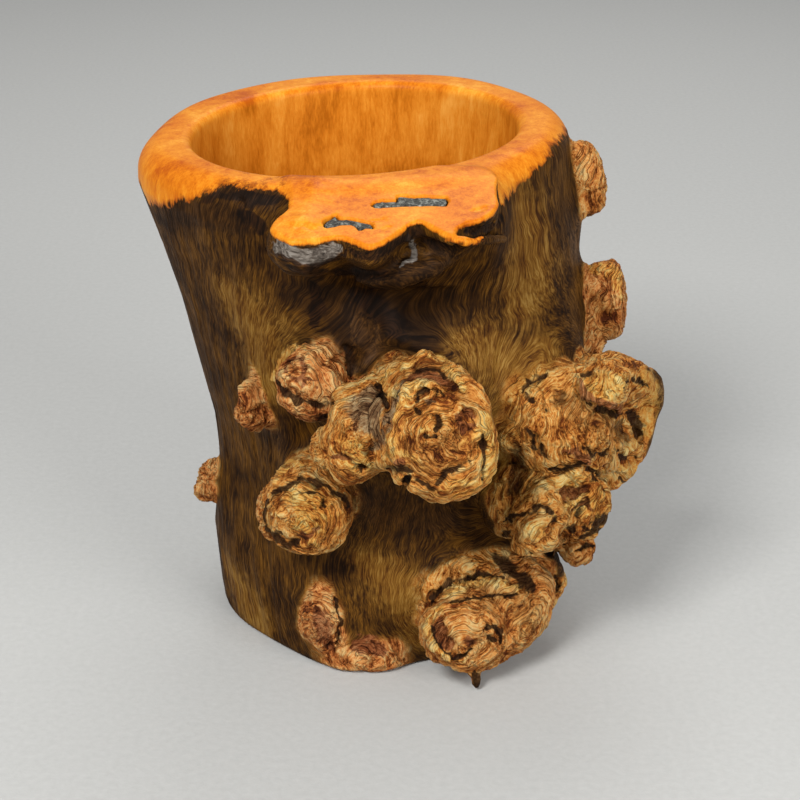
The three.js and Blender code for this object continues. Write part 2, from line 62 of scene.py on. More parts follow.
# The photograph's camera: place in millimetres, tilt in degrees, and focal length and frame in pixels.
CAMERA_PLACE = (12.0, -498.3, 282.7)
CAMERA_TILT = 24.33
CAMERA_FOCUS = 1930
FRAME_SIDE = 800
# Distances from the camera at which a ray through a pixel looks for the pot.
RAY_STEPS = np.arange(380, 640, 0.4)

# Height, centre and radius of the trunk.
GIRTHS = np.array([
    (0, 6, -3, 45.5), (22, 6.5, -2.5, 47.8), (45, 9.5, -1, 48.5), (60, 9.7, -0.5, 50), (78, 8.2, 0, 52.5),
    (95, 6, 0, 54), (112, 2.6, 0.5, 55.8), (126, -0.6, 1, 57.2), (140, -0.8, 2.2, 56.6),
])
# Slow ridges up the trunk: waves round the girth, rise, phase, and twist with height.
RIDGES = [(3, 0.5, 20, 0.3), (5, 0.6, 75, -0.5), (8, 0.4, 140, 0.8)]
# Swellings and hollows: azimuth, height, rise, and spread in degrees and in millimetres.
SWELLINGS = [
    (-4, 97, 5, 9, 13), (-10, 58, 6, 12, 13), (16, 82, 7, 16, 17), (50, 72, 12, 19, 20),
    (43, 50, 9, 15, 12), (32, 17, 4, 16, 10), (-31, 76, 2.5, 6, 12), (-72, 38, 1.5, 7, 8),
    (92, 118, 4, 11, 13), (92, 84, 5, 12, 15), (-10, 12, 2, 8, 9), (4, 2, 2, 12, 7),
    (-16, 1, 1.5, 9, 8), (31, 128, 12, 11, 14), (9, 106, -7, 13, 10), (3, 88, -4, 7, 12),
    (-22, 62, -4, 7, 20), (10, 40, -2.5, 18, 12), (66, 20, -3, 14, 8), (56, 32, 5, 12, 9),
    (180, 104, 5, 15, 14), (150, 55, 4, 14, 13), (215, 72, 3, 12, 16), (238, 26, 2, 13, 12),
    (130, 20, 3, 14, 11),
]


class Burl:
    """A head on a stem. at: azimuth, height, distance from the bore's axis; aim: azimuth, pitch, roll;
    size: half width, half height, half depth; stem: how far it reaches back; lobes: waves, swell, phase;
    power: 2 is round, more is flatter; merge and root: fillets of its head and its stem; ruddy: 0 is golden
    wood, 1 reddish."""

    def __init__(self, at, aim, size, stem, lobes=(2, 0.06, 0), power=2.3, merge=1.6, root=3.5, ruddy=0.15):
        self.at, self.aim, self.size, self.stem = at, aim, size, stem
        self.lobes, self.power, self.merge, self.root, self.ruddy = lobes, power, merge, root, ruddy
        azimuth, height, reach = at
        self.centre = polar(azimuth, height, reach)
        self.axes = turned(*aim)

    def local(self, x, y, z):
        return in_axes(self.centre, self.axes, x, y, z)


def polar(azimuth, height, reach):
    turn = np.radians(azimuth)
    return np.array([reach * np.sin(turn), -reach * np.cos(turn), height])


def in_axes(centre, axes, x, y, z):
    """Coordinates along a shape's own axes, from its centre."""
    dx, dy, dz = x - centre[0], y - centre[1], z - centre[2]
    return [dx * a[0] + dy * a[1] + dz * a[2] for a in axes]


def turned(azimuth, pitch, roll):
    """Unit vectors sideways, outwards and up of a shape that points along azimuth and pitch."""
    a, p, r = np.radians([azimuth + 180, pitch, roll])
    about_z = np.array([[np.cos(a), -np.sin(a), 0], [np.sin(a), np.cos(a), 0], [0, 0, 1]])
    about_x = np.array([[1, 0, 0], [0, np.cos(p), -np.sin(p)], [0, np.sin(p), np.cos(p)]])
    about_y = np.array([[np.cos(r), 0, np.sin(r)], [0, 1, 0], [-np.sin(r), 0, np.cos(r)]])
    return (about_z @ about_x @ about_y).T


BURLS = {
    "upper_left_knob": Burl((-9, 89.6, 62), (-25, -6, 0), (9, 9.3, 6), 20, (2, 0.05, 40), 3.4, ruddy=0.9),
    "little_knob": Burl((-31, 75, 51), (-40, 4, 8), (4.0, 6.8, 4.5), 10, (3, 0.1, 10), ruddy=0.8),
    "spur_top": Burl((-73, 41, 42.5), (-76, 20, 0), (3, 2.8, 3.5), 9, (2, 0.1, 0), ruddy=0.9),
    "spur_low": Burl((-73, 36, 43.5), (-80, -8, 0), (4.2, 3.8, 4.2), 10, (2, 0.1, 90), ruddy=0.9),
    "lower_left_knob": Burl((-11.5, 53, 59), (-18, -8, 0), (12.2, 12.5, 8.5), 24, (2, 0.04, 30), 2.8,
                            ruddy=0.35),
    "lower_left_lobe": Burl((-21, 48, 57), (-30, -6, 10), (4.8, 6.8, 4.5), 12, ruddy=0.5),
    "great_burl": Burl((13.7, 86, 84), (18, 15, 10), (13.6, 17.5, 10), 38, (3, 0.05, 100), 3.0, ruddy=0.3),
    "great_wing": Burl((2.6, 83, 75), (-8, 10, -16), (9.5, 13, 8), 26, (3, 0.06, 200), merge=3.5),
    "wing_tip": Burl((-4.3, 76.5, 71), (-40, 0, 0), (4.6, 4.2, 5), 10, (2, 0.05, 0), merge=3),
    "right_core": Burl((50, 71.5, 71), (48, 14, 16), (13.5, 14, 9), 24, (4, 0.06, 60), merge=4),
    "right_plateau": Burl((44, 72.5, 68), (38, 12, 24), (8, 10.5, 6), 14, (3, 0.12, 20), merge=3),
    "right_tongue": Burl((53.5, 83, 80), (58, 22, -14), (9, 5.5, 6), 16, (2, 0.1, 10)),
    "right_back": Burl((67, 65.5, 73.5), (67, 0, 6), (15, 17, 6.8), 26, (3, 0.05, 30), 3.6, merge=4),
    "right_boss": Burl((51, 70, 78), (48, 0, 0), (5, 5.5, 5), 10, merge=1.5),
    "left_boss": Burl((38.5, 71, 66), (32, 0, 0), (4.5, 4.5, 4), 10, merge=1.5),
    "twin_core": Burl((45, 53.5, 71), (42, 2, -16), (13.5, 9.5, 8), 24, (3, 0.06, 0), merge=3),
    "twin_left": Burl((38.5, 50, 76), (34, -8, 0), (8.5, 9, 6), 14, (2, 0.06, 20)),
    "twin_right": Burl((49.5, 49.5, 78), (50, -4, 0), (8.5, 8.5, 6.5), 14, (3, 0.08, 50)),
    "twin_pendant": Burl((56, 31.5, 73), (64, -14, 0), (5, 3.8, 4), 20, (2, 0.08, 0), ruddy=0.5),
    "foot_face": Burl((26, 16.5, 64), (16, -10, 0), (10.5, 10, 8), 22, (3, 0.04, 40), 3.0, ruddy=0.5),
    "foot_core": Burl((41, 17, 62.5), (40, -4, 30), (15, 11.5, 9.5), 18, (2, 0.04, 20), merge=4, ruddy=0.5),
    "foot_heel": Burl((31.5, 11, 63), (30, -6, 0), (8.5, 7.5, 7), 14, (2, 0.05, 0), merge=4, ruddy=0.5),
    "foot_fold": Burl((33, 26, 55), (26, 18, 8), (12.5, 5, 6), 14, (2, 0.05, 0), ruddy=0.3),
    "foot_arm": Burl((56.5, 13, 59), (58, 4, 30), (8.5, 6, 6), 16),
    "foot_web": Burl((60, 31, 51), (60, 0, 0), (9, 11, 3.5), 8, (2, 0.05, 0), 3.2, merge=3),
    "left_toe": Burl((-10.4, 14, 49.5), (-20, -8, 0), (5.8, 8.6, 5), 12, (3, 0.08, 20), ruddy=0.8),
    "front_toe": Burl((4.2, 3.5, 49), (2, 12, 0), (10.5, 5, 5), 12, (3, 0.1, 90), ruddy=0.8),
    "top_stub": Burl((92, 121.5, 62), (96, 8, 0), (7, 9.5, 5.5), 16, (2, 0.08, 0), ruddy=0.5),
    "middle_stub": Burl((90, 88, 69.5), (80, 6, 0), (7, 10.5, 4.8), 18, (2, 0.05, 0), 3.2, ruddy=0.8),
    "low_stub": Burl((88, 75, 63.5), (80, -10, 0), (6, 9, 5), 14, (2, 0.08, 0), ruddy=0.6),
    "back_knot": Burl((150, 56, 54), (150, 6, 0), (8, 8.5, 4.5), 14, (3, 0.08, 20), root=10, ruddy=0.5),
    "back_bud": Burl((216, 74, 54), (220, 4, 0), (6.5, 8, 4), 14, (2, 0.08, 50), root=10, ruddy=0.5),
    "lip_bracket": Burl((-9, 127, 66), (-12, -10, 0), (9.5, 6.5, 8), 18, (2, 0.05, 0), merge=3),
    "lip_ledge": Burl((11, 120.5, 64), (8, 0, -80), (4, 11, 7), 16, (3, 0.08, 0), merge=2.5),
}

# Curled edges: radius, merge and points as azimuth, height, distance from the bore's axis.
CURLS = {
    "right_rim": (4.6, 2.0, [(56, 82.5, 72), (64, 80, 78.5), (74, 72.5, 80.5), (79, 65, 81.5), (78, 58, 80),
                             (75, 52, 79), (66, 48, 76)]),
    "great_rim": (2.6, 2.0, [(16, 102, 85), (19, 98, 89), (20.4, 90, 91), (20.8, 82, 91), (20, 73.5, 88),
                             (17, 69.5, 83)]),
    "foot_spur": (1.2, 1.0, [(28, 9, 65), (28, 4, 68), (28, 1.4, 69)]),
    "foot_rim": (3.4, 2.5, [(50, 38, 60), (53, 32, 62), (57, 24, 63), (60, 17, 63), (62, 10, 61)]),
    "lip_strand": (1.1, 0.8, [(16.5, 132.5, 74), (18.7, 132, 79), (21.2, 131.1, 78.8), (24.2, 130.4, 77.3),
                              (27.4, 129, 74.4), (32.4, 126.3, 68.7), (36, 124, 62)]),
}

# Clefts of rotted wood: at, aim and half sizes.
CLEFT_ROUNDING = 1.0
CLEFTS = [
    ((67, 66, 85), (66, 0, 8), (2.6, 9, 9)),
    ((56, 76.5, 86), (62, 10, 64), (1.8, 6, 7)),
    ((44.5, 50, 85), (42, 0, -30), (1.8, 8, 5)),
    ((15, 127, 76), (14, 0, 90), (4, 10, 9)),
]

# The lip seen from above, its fall in degrees, the share of its reach at equal depths below its top, and how
# narrow it gets under it about its middle.
LIP_HINGE_Y = -49
LIP_OUTLINE = np.array([
    (-15.5, -40), (-14.8, -55), (-14.5, -59.5), (-18, -66), (-18.4, -71), (-14.5, -74.6), (-9, -75.2),
    (-2, -74.1), (1, -76), (4.2, -79.2), (7, -78.5), (11, -74.3), (16, -68.9), (20, -72.2), (24.2, -76.2),
    (25.8, -72), (30.5, -69.8), (34.5, -65), (35.5, -58), (30, -42),
])
LIP_FALL = 11
LIP_THICKNESS = 26
LIP_UNDERSIDE = [1, 0.96, 0.72, 0.46, 0.28, 0.15]
LIP_MIDDLE_X = 9
LIP_NECK = 0.55
LIP_ROUNDING = 0.9
LIP_FILLET = 3
LIP_ROOM = 4  # round the box in which it is grown
LIP_STRETCHED_STEEPNESS = 0.6  # evens out the field where the outline is drawn in under the lip


# Marks on the surface, placed by points of the photograph: width and rise in millimetres (a rise under 0
# cuts), what they are painted with, and the points of the line or spot in the photograph's pixels.
MARKS = {
    # the great burl
    "great_crest": (1.9, 1.7, "pale", [(428, 386), (417, 384), (409, 393), (403, 407), (398, 422),
        (394, 436), (390, 447)]),
    "great_valley": (1.7, -1.8, "ash_and_shade", [(404, 383), (397, 398), (390, 416), (383, 436), (374, 450)]),
    "great_brow": (1.6, 1.2, "pale", [(384, 377), (405, 366), (423, 358), (440, 361), (455, 374),
        (466, 390)]),
    "great_brow_cave": (1.9, -1.8, "red", [(410, 381), (424, 376), (440, 379), (454, 387)]),
    "great_brow_slot": (0.8, -1.2, "dark", [(414, 374), (426, 369), (440, 371), (452, 379)]),
    "great_eye": (0.55, -1.5, "dark", [(416, 404), (420, 395), (429, 390), (439, 393), (445, 402)]),
    "great_eye_rim": (0.9, 0.9, "pale", [(436, 386), (446, 392), (452, 402), (451, 412)]),
    "great_eye_lump": (2, 1.5, "ash_and_shade", [(429, 401), (432, 402)]),
    "great_eye_left": (0.7, -1, "dark", [(414, 409), (418, 416)]),
    "great_eye_fold": (0.7, 0.9, "pale", [(422, 413), (431, 416)]),
    "great_eye_pit": (0.9, -1.4, "dark", [(436, 415), (440, 424), (437, 431)]),
    "great_eye_low": (0.8, 0.9, "pale", [(416, 424), (424, 428), (430, 424)]),
    "great_eye_chin": (0.6, -1, "dark", [(422, 434), (430, 437), (437, 434)]),
    "great_curl": (1.2, 1.2, "pale", [(386, 466), (387, 456), (396, 451), (409, 456), (421, 465)]),
    "great_curl_lump": (1.6, 0.9, "red", [(396, 461), (406, 463)]),
    "great_curl_slot": (1.1, -1.5, "dark", [(389, 470), (398, 468), (412, 472)]),
    "great_low_edge": (0.8, 0.6, "pale", [(393, 478), (402, 480), (412, 485)]),
    "great_whorl": (1.2, -0.8, "red", [(462, 432), (459, 420), (466, 411), (474, 416)]),
    "great_whorl_lump": (2, 0.8, "red", [(467, 424), (470, 428)]),
    "great_band": (1.5, 1.3, "pale", [(486, 416), (484, 427), (473, 437), (461, 446), (470, 452)]),
    "great_margin": (1.5, 0.7, "pale", [(490, 436), (492, 455), (488, 474)]),
    "great_margin_slot": (0.7, -1.2, "dark", [(482, 434), (484, 450), (484, 466), (480, 482)]),
    "great_shelf": (1.4, 1.2, "pale", [(436, 497), (446, 487), (458, 481), (474, 484), (487, 480)]),
    "great_shelf_slot": (1, -1.4, "dark", [(436, 484), (448, 473), (460, 466), (470, 462)]),
    "great_chin_slot": (1, -1.2, "dark", [(393, 484), (408, 480), (424, 484), (434, 492)]),
    "great_face": (6, 0, "umber_and_shade", [(406, 446), (430, 456), (452, 440)]),
    "great_cheek": (3.5, 0, "umber_and_shade", [(404, 372), (440, 372), (466, 400)]),
    "great_margin_light": (3, 0, "painted_highlight", [(484, 418), (491, 448), (484, 482), (456, 494)]),
    # its wing
    "wing_face": (5.5, 0, "ash_and_shade", [(372, 392), (368, 412), (376, 432)]),
    "wing_light": (5, 0, "painted_highlight", [(343, 442), (352, 456), (366, 462)]),
    "wing_hole": (1, -4.2, "dark", [(361, 466), (361, 470)]),
    "wing_hole_rim": (0.9, 0.7, "pale", [(355, 462), (357, 456), (364, 457), (369, 466), (366, 476)]),
    "wing_fold": (2.2, 1, "pale", [(334, 446), (346, 447), (358, 452), (366, 460)]),
    "wing_fold_slot": (0.7, -1, "red", [(330, 459), (344, 457), (355, 459)]),
    "wing_flap": (1.3, 1.3, "pale", [(381, 377), (386, 386), (396, 397)]),
    "wing_flap_slot": (0.8, -1.3, "dark", [(378, 384), (384, 396), (387, 410), (391, 424)]),
    # the upper left knob
    "knob_crescent": (1.7, -2, "dark", [(277, 383), (283, 391), (293, 397), (304, 400)]),
    "knob_collar": (1.1, 0.9, "pale", [(272, 381), (279, 363), (293, 347), (305, 347)]),
    "knob_ring": (0.8, -0.6, "red", [(287, 372), (286, 362), (295, 357), (304, 362), (305, 372),
        (297, 380), (289, 377)]),
    "knob_eye": (0.9, -0.8, "", [(293, 369), (296, 370)]),
    "knob_second_ring": (0.7, -0.5, "red", [(303, 386), (306, 379), (314, 379), (317, 387)]),
    "knob_under_slot": (1.4, -1.4, "dark", [(306, 401), (320, 405), (334, 402)]),
    "knob_side_slot": (2.4, -1.4, "dark", [(346, 348), (350, 360), (349, 372)]),
    # the lower left knob
    "lower_light": (6, 0, "painted_highlight", [(296, 498), (318, 512), (302, 526)]),
    "lower_crescent": (2.2, -2.4, "dark", [(269, 499), (264, 512), (267, 527), (276, 537), (288, 544),
        (299, 541)]),
    "lower_collar_slot": (1.2, -1.9, "dark", [(272, 493), (286, 489), (298, 480), (312, 481), (325, 487),
        (340, 497), (348, 507)]),
    "lower_ragged_crest": (1.6, 1, "pale", [(275, 484), (281, 473), (291, 465), (300, 466)]),
    "lower_crack": (0.5, -1, "dark", [(300, 489), (310, 494), (318, 492), (328, 499)]),
    "lower_pit": (0.7, -1.5, "dark", [(321, 501), (323, 508)]),
    "lower_second_crack": (0.8, -1, "red", [(296, 536), (308, 534), (318, 528)]),
    "lower_chip": (1.3, 0.7, "pale", [(303, 546), (312, 540), (317, 546)]),
    # the right burl
    "right_edge_slot": (1.3, -2.4, "dark", [(523, 394), (527, 385), (536, 381), (546, 376)]),
    "right_edge_pit": (1.3, -2.6, "dark", [(527, 396), (532, 402)]),
    "right_pit": (1.3, -2.4, "shade", [(562, 393), (560, 403)]),
    "right_small_pit": (0.8, -1.3, "dark", [(545, 408), (546, 412)]),
    "right_top_cleft": (1.2, -2.6, "dark", [(579, 377), (586, 374), (594, 373)]),
    "right_tongue_light": (5, 0, "painted_highlight", [(590, 380), (606, 388), (622, 378)]),
    "right_rim_light": (3.5, 0, "painted_highlight", [(640, 372), (652, 390), (646, 410), (650, 436)]),
    "right_shade": (5, 0, "umber_and_shade", [(560, 400), (590, 418), (612, 430)]),
    "right_tongue_edge": (1.2, 1.5, "red", [(581, 383), (587, 394), (597, 402), (610, 406), (622, 410)]),
    "right_tongue_face": (3, 1.2, "pale", [(592, 383), (604, 379), (618, 380), (612, 394)]),
    "right_tongue_under": (1.6, -2, "dark", [(588, 401), (598, 408), (611, 412), (620, 415)]),
    "right_arc_crack": (0.8, -1.4, "dark", [(622, 388), (628, 382), (640, 382), (650, 388)]),
    "right_crevice": (2.4, -6, "dark", [(628, 411), (633, 418), (637, 428), (640, 434)]),
    "right_crevice_floor": (2.2, -3.4, "shade", [(616, 424), (622, 432), (628, 440)]),
    "right_inner_knob": (1.9, 1.6, "pale", [(624, 451), (632, 447), (642, 446)]),
    "right_inner_slot": (1.2, -2.6, "dark", [(616, 446), (621, 458), (637, 457)]),
    "right_low_knob": (1.5, 1.2, "pale", [(620, 466), (630, 471), (634, 464)]),
    "right_low_slot": (1, -2, "dark", [(617, 470), (622, 480), (627, 488)]),
    "right_oval_slot": (1.1, -1.8, "dark", [(585, 447), (592, 453), (602, 453), (609, 447)]),
    "right_oval_top": (0.9, -0.8, "", [(583, 430), (590, 424), (601, 425), (608, 433)]),
    "right_fold": (1.5, 1.3, "red", [(566, 452), (578, 453), (590, 461)]),
    "right_fold_slot": (1, -1.7, "dark", [(551, 470), (562, 468), (574, 466), (587, 461)]),
    "right_strand": (1.6, 1.2, "pale", [(594, 466), (602, 475), (609, 487)]),
    "right_strand_slot": (1.2, -2.2, "dark", [(587, 466), (596, 479), (606, 491)]),
    "right_bowl_fold": (1.4, 0.9, "", [(534, 412), (545, 424), (553, 440), (566, 446)]),
    "right_bowl_slot": (1, -1, "dark", [(530, 430), (536, 446), (548, 458)]),
    # the twin burl
    "twin_arch": (1.7, 1.5, "pale", [(541, 487), (554, 480), (569, 477), (584, 479), (596, 487),
        (605, 499), (612, 512)]),
    "twin_light": (3.6, 0, "painted_highlight", [(560, 480), (584, 500), (602, 512)]),
    "twin_hollow": (2.2, -1.8, "red", [(559, 490), (571, 494), (584, 490)]),
    "twin_ridge": (0.9, 1.2, "pale", [(553, 516), (566, 506), (581, 498), (596, 493)]),
    "twin_fissure": (1.1, -2.2, "dark", [(505, 522), (514, 517), (527, 514), (540, 507), (547, 510),
        (555, 520), (562, 534), (564, 546)]),
    "twin_pits": (1.5, -2.8, "dark", [(563, 534), (572, 529), (586, 530)]),
    "twin_black": (2.3, -1.2, "dark", [(592, 525), (602, 520), (611, 517)]),
    "twin_black_low": (1.6, -1.6, "dark", [(580, 537), (592, 533), (603, 526)]),
    "twin_whorl": (0.9, -0.9, "red", [(570, 512), (576, 503), (588, 504), (594, 512)]),
    "twin_whorl_lump": (1.4, 1, "pale", [(580, 511), (590, 515)]),
    "twin_left_lobe": (3.4, 1.2, "pale", [(532, 527), (543, 533)]),
    "twin_low_slot": (1, -1.4, "dark", [(528, 551), (545, 553), (560, 551)]),
    "twin_side_pit": (1.6, -2, "dark", [(504, 536), (510, 530)]),
    "pendant_slot": (0.9, -1.3, "dark", [(576, 550), (584, 545), (594, 545)]),
    "strand_slot": (0.9, -1.4, "dark", [(555, 577), (558, 588)]),
    # the foot burl
    "foot_face_rim": (1.3, 1.2, "pale", [(458, 601), (444, 607), (432, 618), (428, 632), (434, 647),
        (447, 658), (463, 663)]),
    "foot_shade": (5, 0, "umber_and_shade", [(446, 582), (480, 592), (520, 600), (530, 630)]),
    "foot_face_recess": (3, -1.5, "red", [(440, 622), (440, 636), (449, 646)]),
    "foot_face_slot": (0.8, -1.4, "dark", [(433, 624), (434, 638), (443, 651), (457, 657), (472, 650)]),
    "foot_orange": (1.7, 0.8, "red", [(468, 637), (470, 645)]),
    "foot_pits": (1, -2.2, "dark", [(486, 628), (494, 626), (500, 633), (501, 642)]),
    "foot_pit_low": (0.8, -1.5, "dark", [(488, 634), (496, 641)]),
    "foot_outer_fold": (2, 1.3, "", [(426, 600), (430, 583), (441, 570), (456, 564), (474, 566),
        (490, 568)]),
    "foot_fold_slot": (1.1, -1.8, "dark", [(430, 605), (437, 592), (454, 582), (478, 576), (502, 578)]),
    "foot_gold_fold": (2, 1.4, "pale", [(446, 597), (456, 590), (470, 583), (487, 580), (506, 582),
        (520, 590)]),
    "foot_third_slot": (0.9, -1.5, "dark", [(447, 602), (460, 599), (480, 598), (496, 595), (518, 594)]),
    "foot_gap": (3.2, -3.5, "dark", [(496, 560), (508, 568), (519, 578), (532, 588)]),
    "arm_hole": (1.2, -2.2, "dark", [(556, 583), (557, 590)]),
    "arm_bar": (1.6, 1, "", [(545, 585), (548, 600)]),
    "foot_spike": (2, 0, "dark", [(475, 672), (478, 686)]),
    # the toes
    "toe_facet": (3, -0.8, "red", [(318, 612), (324, 632), (328, 646)]),
    "toe_facet_edge": (1, 0.7, "", [(306, 600), (312, 622), (320, 646)]),
    "toe_facet_slot": (0.9, -1, "dark", [(335, 598), (340, 620), (338, 644)]),
    "front_toe_facet": (3, -0.7, "red", [(352, 648), (366, 644), (382, 652)]),
    "front_toe_edge": (1, 0.8, "", [(342, 652), (356, 638), (372, 634), (388, 646)]),
    # the lip, and under it black bark and painted shade
    "lip_face": (3.4, 0, "grey", [(276, 245), (288, 251), (304, 256), (322, 254), (338, 248)]),
    "lip_face_edge": (1.6, 0, "dark", [(276, 252), (284, 258), (294, 262), (306, 265), (322, 264),
        (338, 257), (348, 252)]),
    "lip_under": (3.6, 0, "dark", [(286, 264), (300, 270), (320, 273), (342, 272), (362, 272), (384, 274)]),
    "lip_under_dark": (6, 0, "shade", [(352, 266), (384, 276), (420, 272), (448, 258)]),
    "lip_under_ridge": (1.2, 0.7, "", [(292, 266), (303, 268), (312, 274)]),
    "lip_point_under": (2.4, 0, "dark", [(352, 250), (362, 256), (376, 254), (390, 247), (402, 240)]),
    "lip_notch": (3.4, 0, "dark", [(404, 240), (416, 233), (430, 239), (446, 246)]),
    "lip_notch_rib": (1, 0.9, "grey", [(408, 236), (414, 246), (412, 258), (400, 266)]),
    "lip_second_rib": (1, 0.7, "", [(424, 240), (432, 250), (434, 258)]),
    "lip_crevice": (1.6, -1, "dark", [(463, 229), (474, 230), (486, 228), (494, 222)]),
    "lip_short_crack": (0.7, -0.5, "grey", [(295, 227), (303, 225), (313, 227), (321, 227)]),
    "lip_arc": (0.45, -0.35, "red", [(371, 222), (380, 221), (387, 218), (393, 216)]),
    "lip_low_arc": (0.45, -0.35, "red", [(372, 228), (380, 230), (388, 228), (396, 225)]),
    "lip_speck": (1.1, -0.4, "grey", [(473, 211), (479, 209), (484, 207)]),
    "lip_hair_crack": (0.4, -0.3, "red", [(419, 206), (422, 209), (427, 211)]),
    "lip_strand_top": (1.3, 0, "orange", [(446, 232), (458, 238), (471, 241), (484, 239)]),
    # the middle stub, with a painted highlight and painted shade
    "stub_light": (2.6, 0, "painted_highlight", [(592, 268), (606, 266), (618, 280), (621, 300)]),
    "stub_shade": (4, 0, "umber_and_shade", [(596, 296), (604, 318), (606, 340)]),
    # lighter golden parts of the trunk, and painted shade and shadow under the rim, the lip and the great
    # burl and between the burls
    "light_above_right_burl": (9, 0, "gold", [(462, 340), (490, 352), (515, 372), (548, 350)]),
    "light_gap": (6, 0, "gold", [(503, 398), (503, 430), (498, 462), (504, 500)]),
    "light_under_right_burl": (4, 0, "gold", [(538, 468), (528, 490), (506, 512)]),
    "light_right": (12, 0, "gold", [(518, 206), (530, 262), (520, 310)]),
    "light_left": (10, 0, "gold", [(228, 290), (250, 318), (262, 345), (258, 400)]),
    "light_low_left": (8, 0, "gold", [(226, 560), (240, 592), (266, 628)]),
    "light_low": (7, 0, "gold", [(360, 560), (400, 590), (420, 640)]),
    "side_lump": (2.6, 1.2, "gold", [(512, 433), (524, 434)]),
    "side_shadow": (2.6, -0.8, "shade", [(515, 448), (519, 468), (513, 492)]),
    "shade_under_lip": (9, 0, "shade", [(300, 296), (345, 305), (400, 312), (446, 296)]),
    "shade_centre": (10, 0, "shade", [(345, 345), (385, 340), (425, 335)]),
    "shade_under_great": (8, 0, "shade", [(352, 500), (400, 516), (450, 520)]),
    "shade_under_rim": (5, 0, "shade", [(160, 218), (200, 214), (250, 226)]),
    "bark_shadow": (3, 0, "dark", [(205, 200), (222, 196), (246, 196), (266, 200), (280, 200)]),
    "bark_shadow_low": (3, 0, "dark", [(240, 212), (258, 222), (264, 236)]),
    "bark_eye": (0.9, -0.8, "dark", [(236, 203), (239, 201), (243, 204)]),
    "under_lip_hollow": (5, -0.8, "dark", [(355, 290), (372, 305), (392, 322), (402, 340)]),
    "under_lip_hollow_left": (3.5, -0.4, "dark", [(312, 285), (318, 305), (314, 325)]),
    "right_neck": (2.2, -0.5, "dark", [(500, 214), (498, 224)]),
}

# Lower edge of the sanded band, in pixels: in front as the photograph shows it, then its depth under the rim
# round the back, by azimuth.
SANDED_EDGE = [
    (141, 186), (150, 205), (165, 206), (180, 201), (192, 199), (205, 191), (218, 187), (232, 186),
    (240, 190), (255, 188), (270, 189), (285, 191), (291, 195),
]
SANDED_EDGE_RIGHT = [(500, 206), (509, 195), (525, 180), (540, 165), (549, 156), (556, 147), (561, 139)]
SANDED_BACK = [(105, 6), (140, 9), (180, 11), (220, 12), (260, 12)]
LIP_SANDED = 1.1  # the lip is sanded down to this depth under its top
LIP_MARGIN = 2.5  # how far past its outline the lip's top is still the lip's
LIP_EDGE_SHARPNESS = 3  # how much sharper the sanding ends on the lip than on the rim
BORE_MARGIN = 1.5  # how far into the wall the bore's surface is looked for
BORE_SANDED, NOT_SANDED = 6, -9  # depths that count as sanded all over, and as not sanded at all
SANDED_UNEVENNESS = ((4, 1.1, 2.4), (5, 0.6, 0.9))  # layers of noise, in millimetres


def smooth_step(value, low, high):
    share = np.clip((value - low) / (high - low), 0, 1)
    return share * share * (3 - 2 * share)


def joined(a, b, reach):
    """The smaller of two fields, with a fillet that reaches so far."""
    share = np.clip(0.5 + 0.5 * (b - a) / reach, 0, 1)
    return b + (a - b) * share - reach * share * (1 - share)


def cut(a, b, reach):
    """Field a without field b, with a rounded edge."""
    return -joined(-a, b, reach)


def rounded_meet(a, b, radius):
    """What is inside both fields, with an edge of that radius."""
    corner = np.hypot(np.maximum(a + radius, 0), np.maximum(b + radius, 0))
    return np.minimum(-radius, np.maximum(a, b)) + corner


CORNERS = [(i, j, k) for i in (0, 1) for j in (0, 1) for k in (0, 1)]


class Noise:
    """Smooth noise from a table of random values, repeatable for a seed."""

    SIDE = 32

    def __init__(self, seed):
        self.table = np.random.default_rng(seed).uniform(-1, 1, (self.SIDE,) * 3).astype(np.float32)

    def __call__(self, x, y, z, size=1):
        """The noise at points, with cells of that size."""
        x, y, z = np.broadcast_arrays(x / size, y / size, z / size)
        cells, ends = [], []
        for value in (x, y, z):
            floor = np.floor(value)
            share = (value - floor).astype(np.float32)
            share = share * share * share * (share * (share * 6 - 15) + 10)
            cells.append(floor.astype(np.int32))
            ends.append((1 - share, share))
        total = 0
        for i, j, k in CORNERS:
            corner = tuple((cell + step) % self.SIDE for cell, step in zip(cells, (i, j, k)))
            total = total + self.table[corner] * ends[0][i] * ends[1][j] * ends[2][k]
        return total


noises = [Noise(seed) for seed in range(11, 17)]


def layered(layers, x, y, z):
    """A sum of noises. Each layer says which noise, how strong, and the size of its cells."""
    return sum(strength * noises[number](x, y, z, size) for number, strength, size in layers)


def girth(height):
    """The trunk's centre and mean radius at a height."""
    return [np.interp(height, GIRTHS[:, 0], GIRTHS[:, column]) for column in (1, 2, 3)]


def trunk_radius(azimuth, height):
    radius = girth(height)[2]
    for waves, rise, phase, twist in RIDGES:
        radius = radius + rise * np.cos(np.radians(waves * azimuth + phase + twist * height))
    for at, level, rise, wide, tall in SWELLINGS:
        apart = (azimuth - at + 180) % 360 - 180
        radius = radius + rise * np.exp(-((apart / wide) ** 2 + ((height - level) / tall) ** 2))
    return radius


def rim_height(x):
    return RIM_LEVEL + RIM_SLOPE * x


def lip_height(x, y):
    return rim_height(x) - np.maximum(LIP_HINGE_Y - y, 0) * math.tan(math.radians(LIP_FALL))


def bore_radius(height):
    """The well narrows from its mouth down to its floor along a quarter of a sine wave."""
    share = np.clip((height - DISC_THICKNESS) / (RIM_LEVEL - DISC_THICKNESS), 0, 1)
    return BORE_FLOOR_RADIUS + (BORE_MOUTH_RADIUS - BORE_FLOOR_RADIUS) * np.sin(share * np.pi / 2)


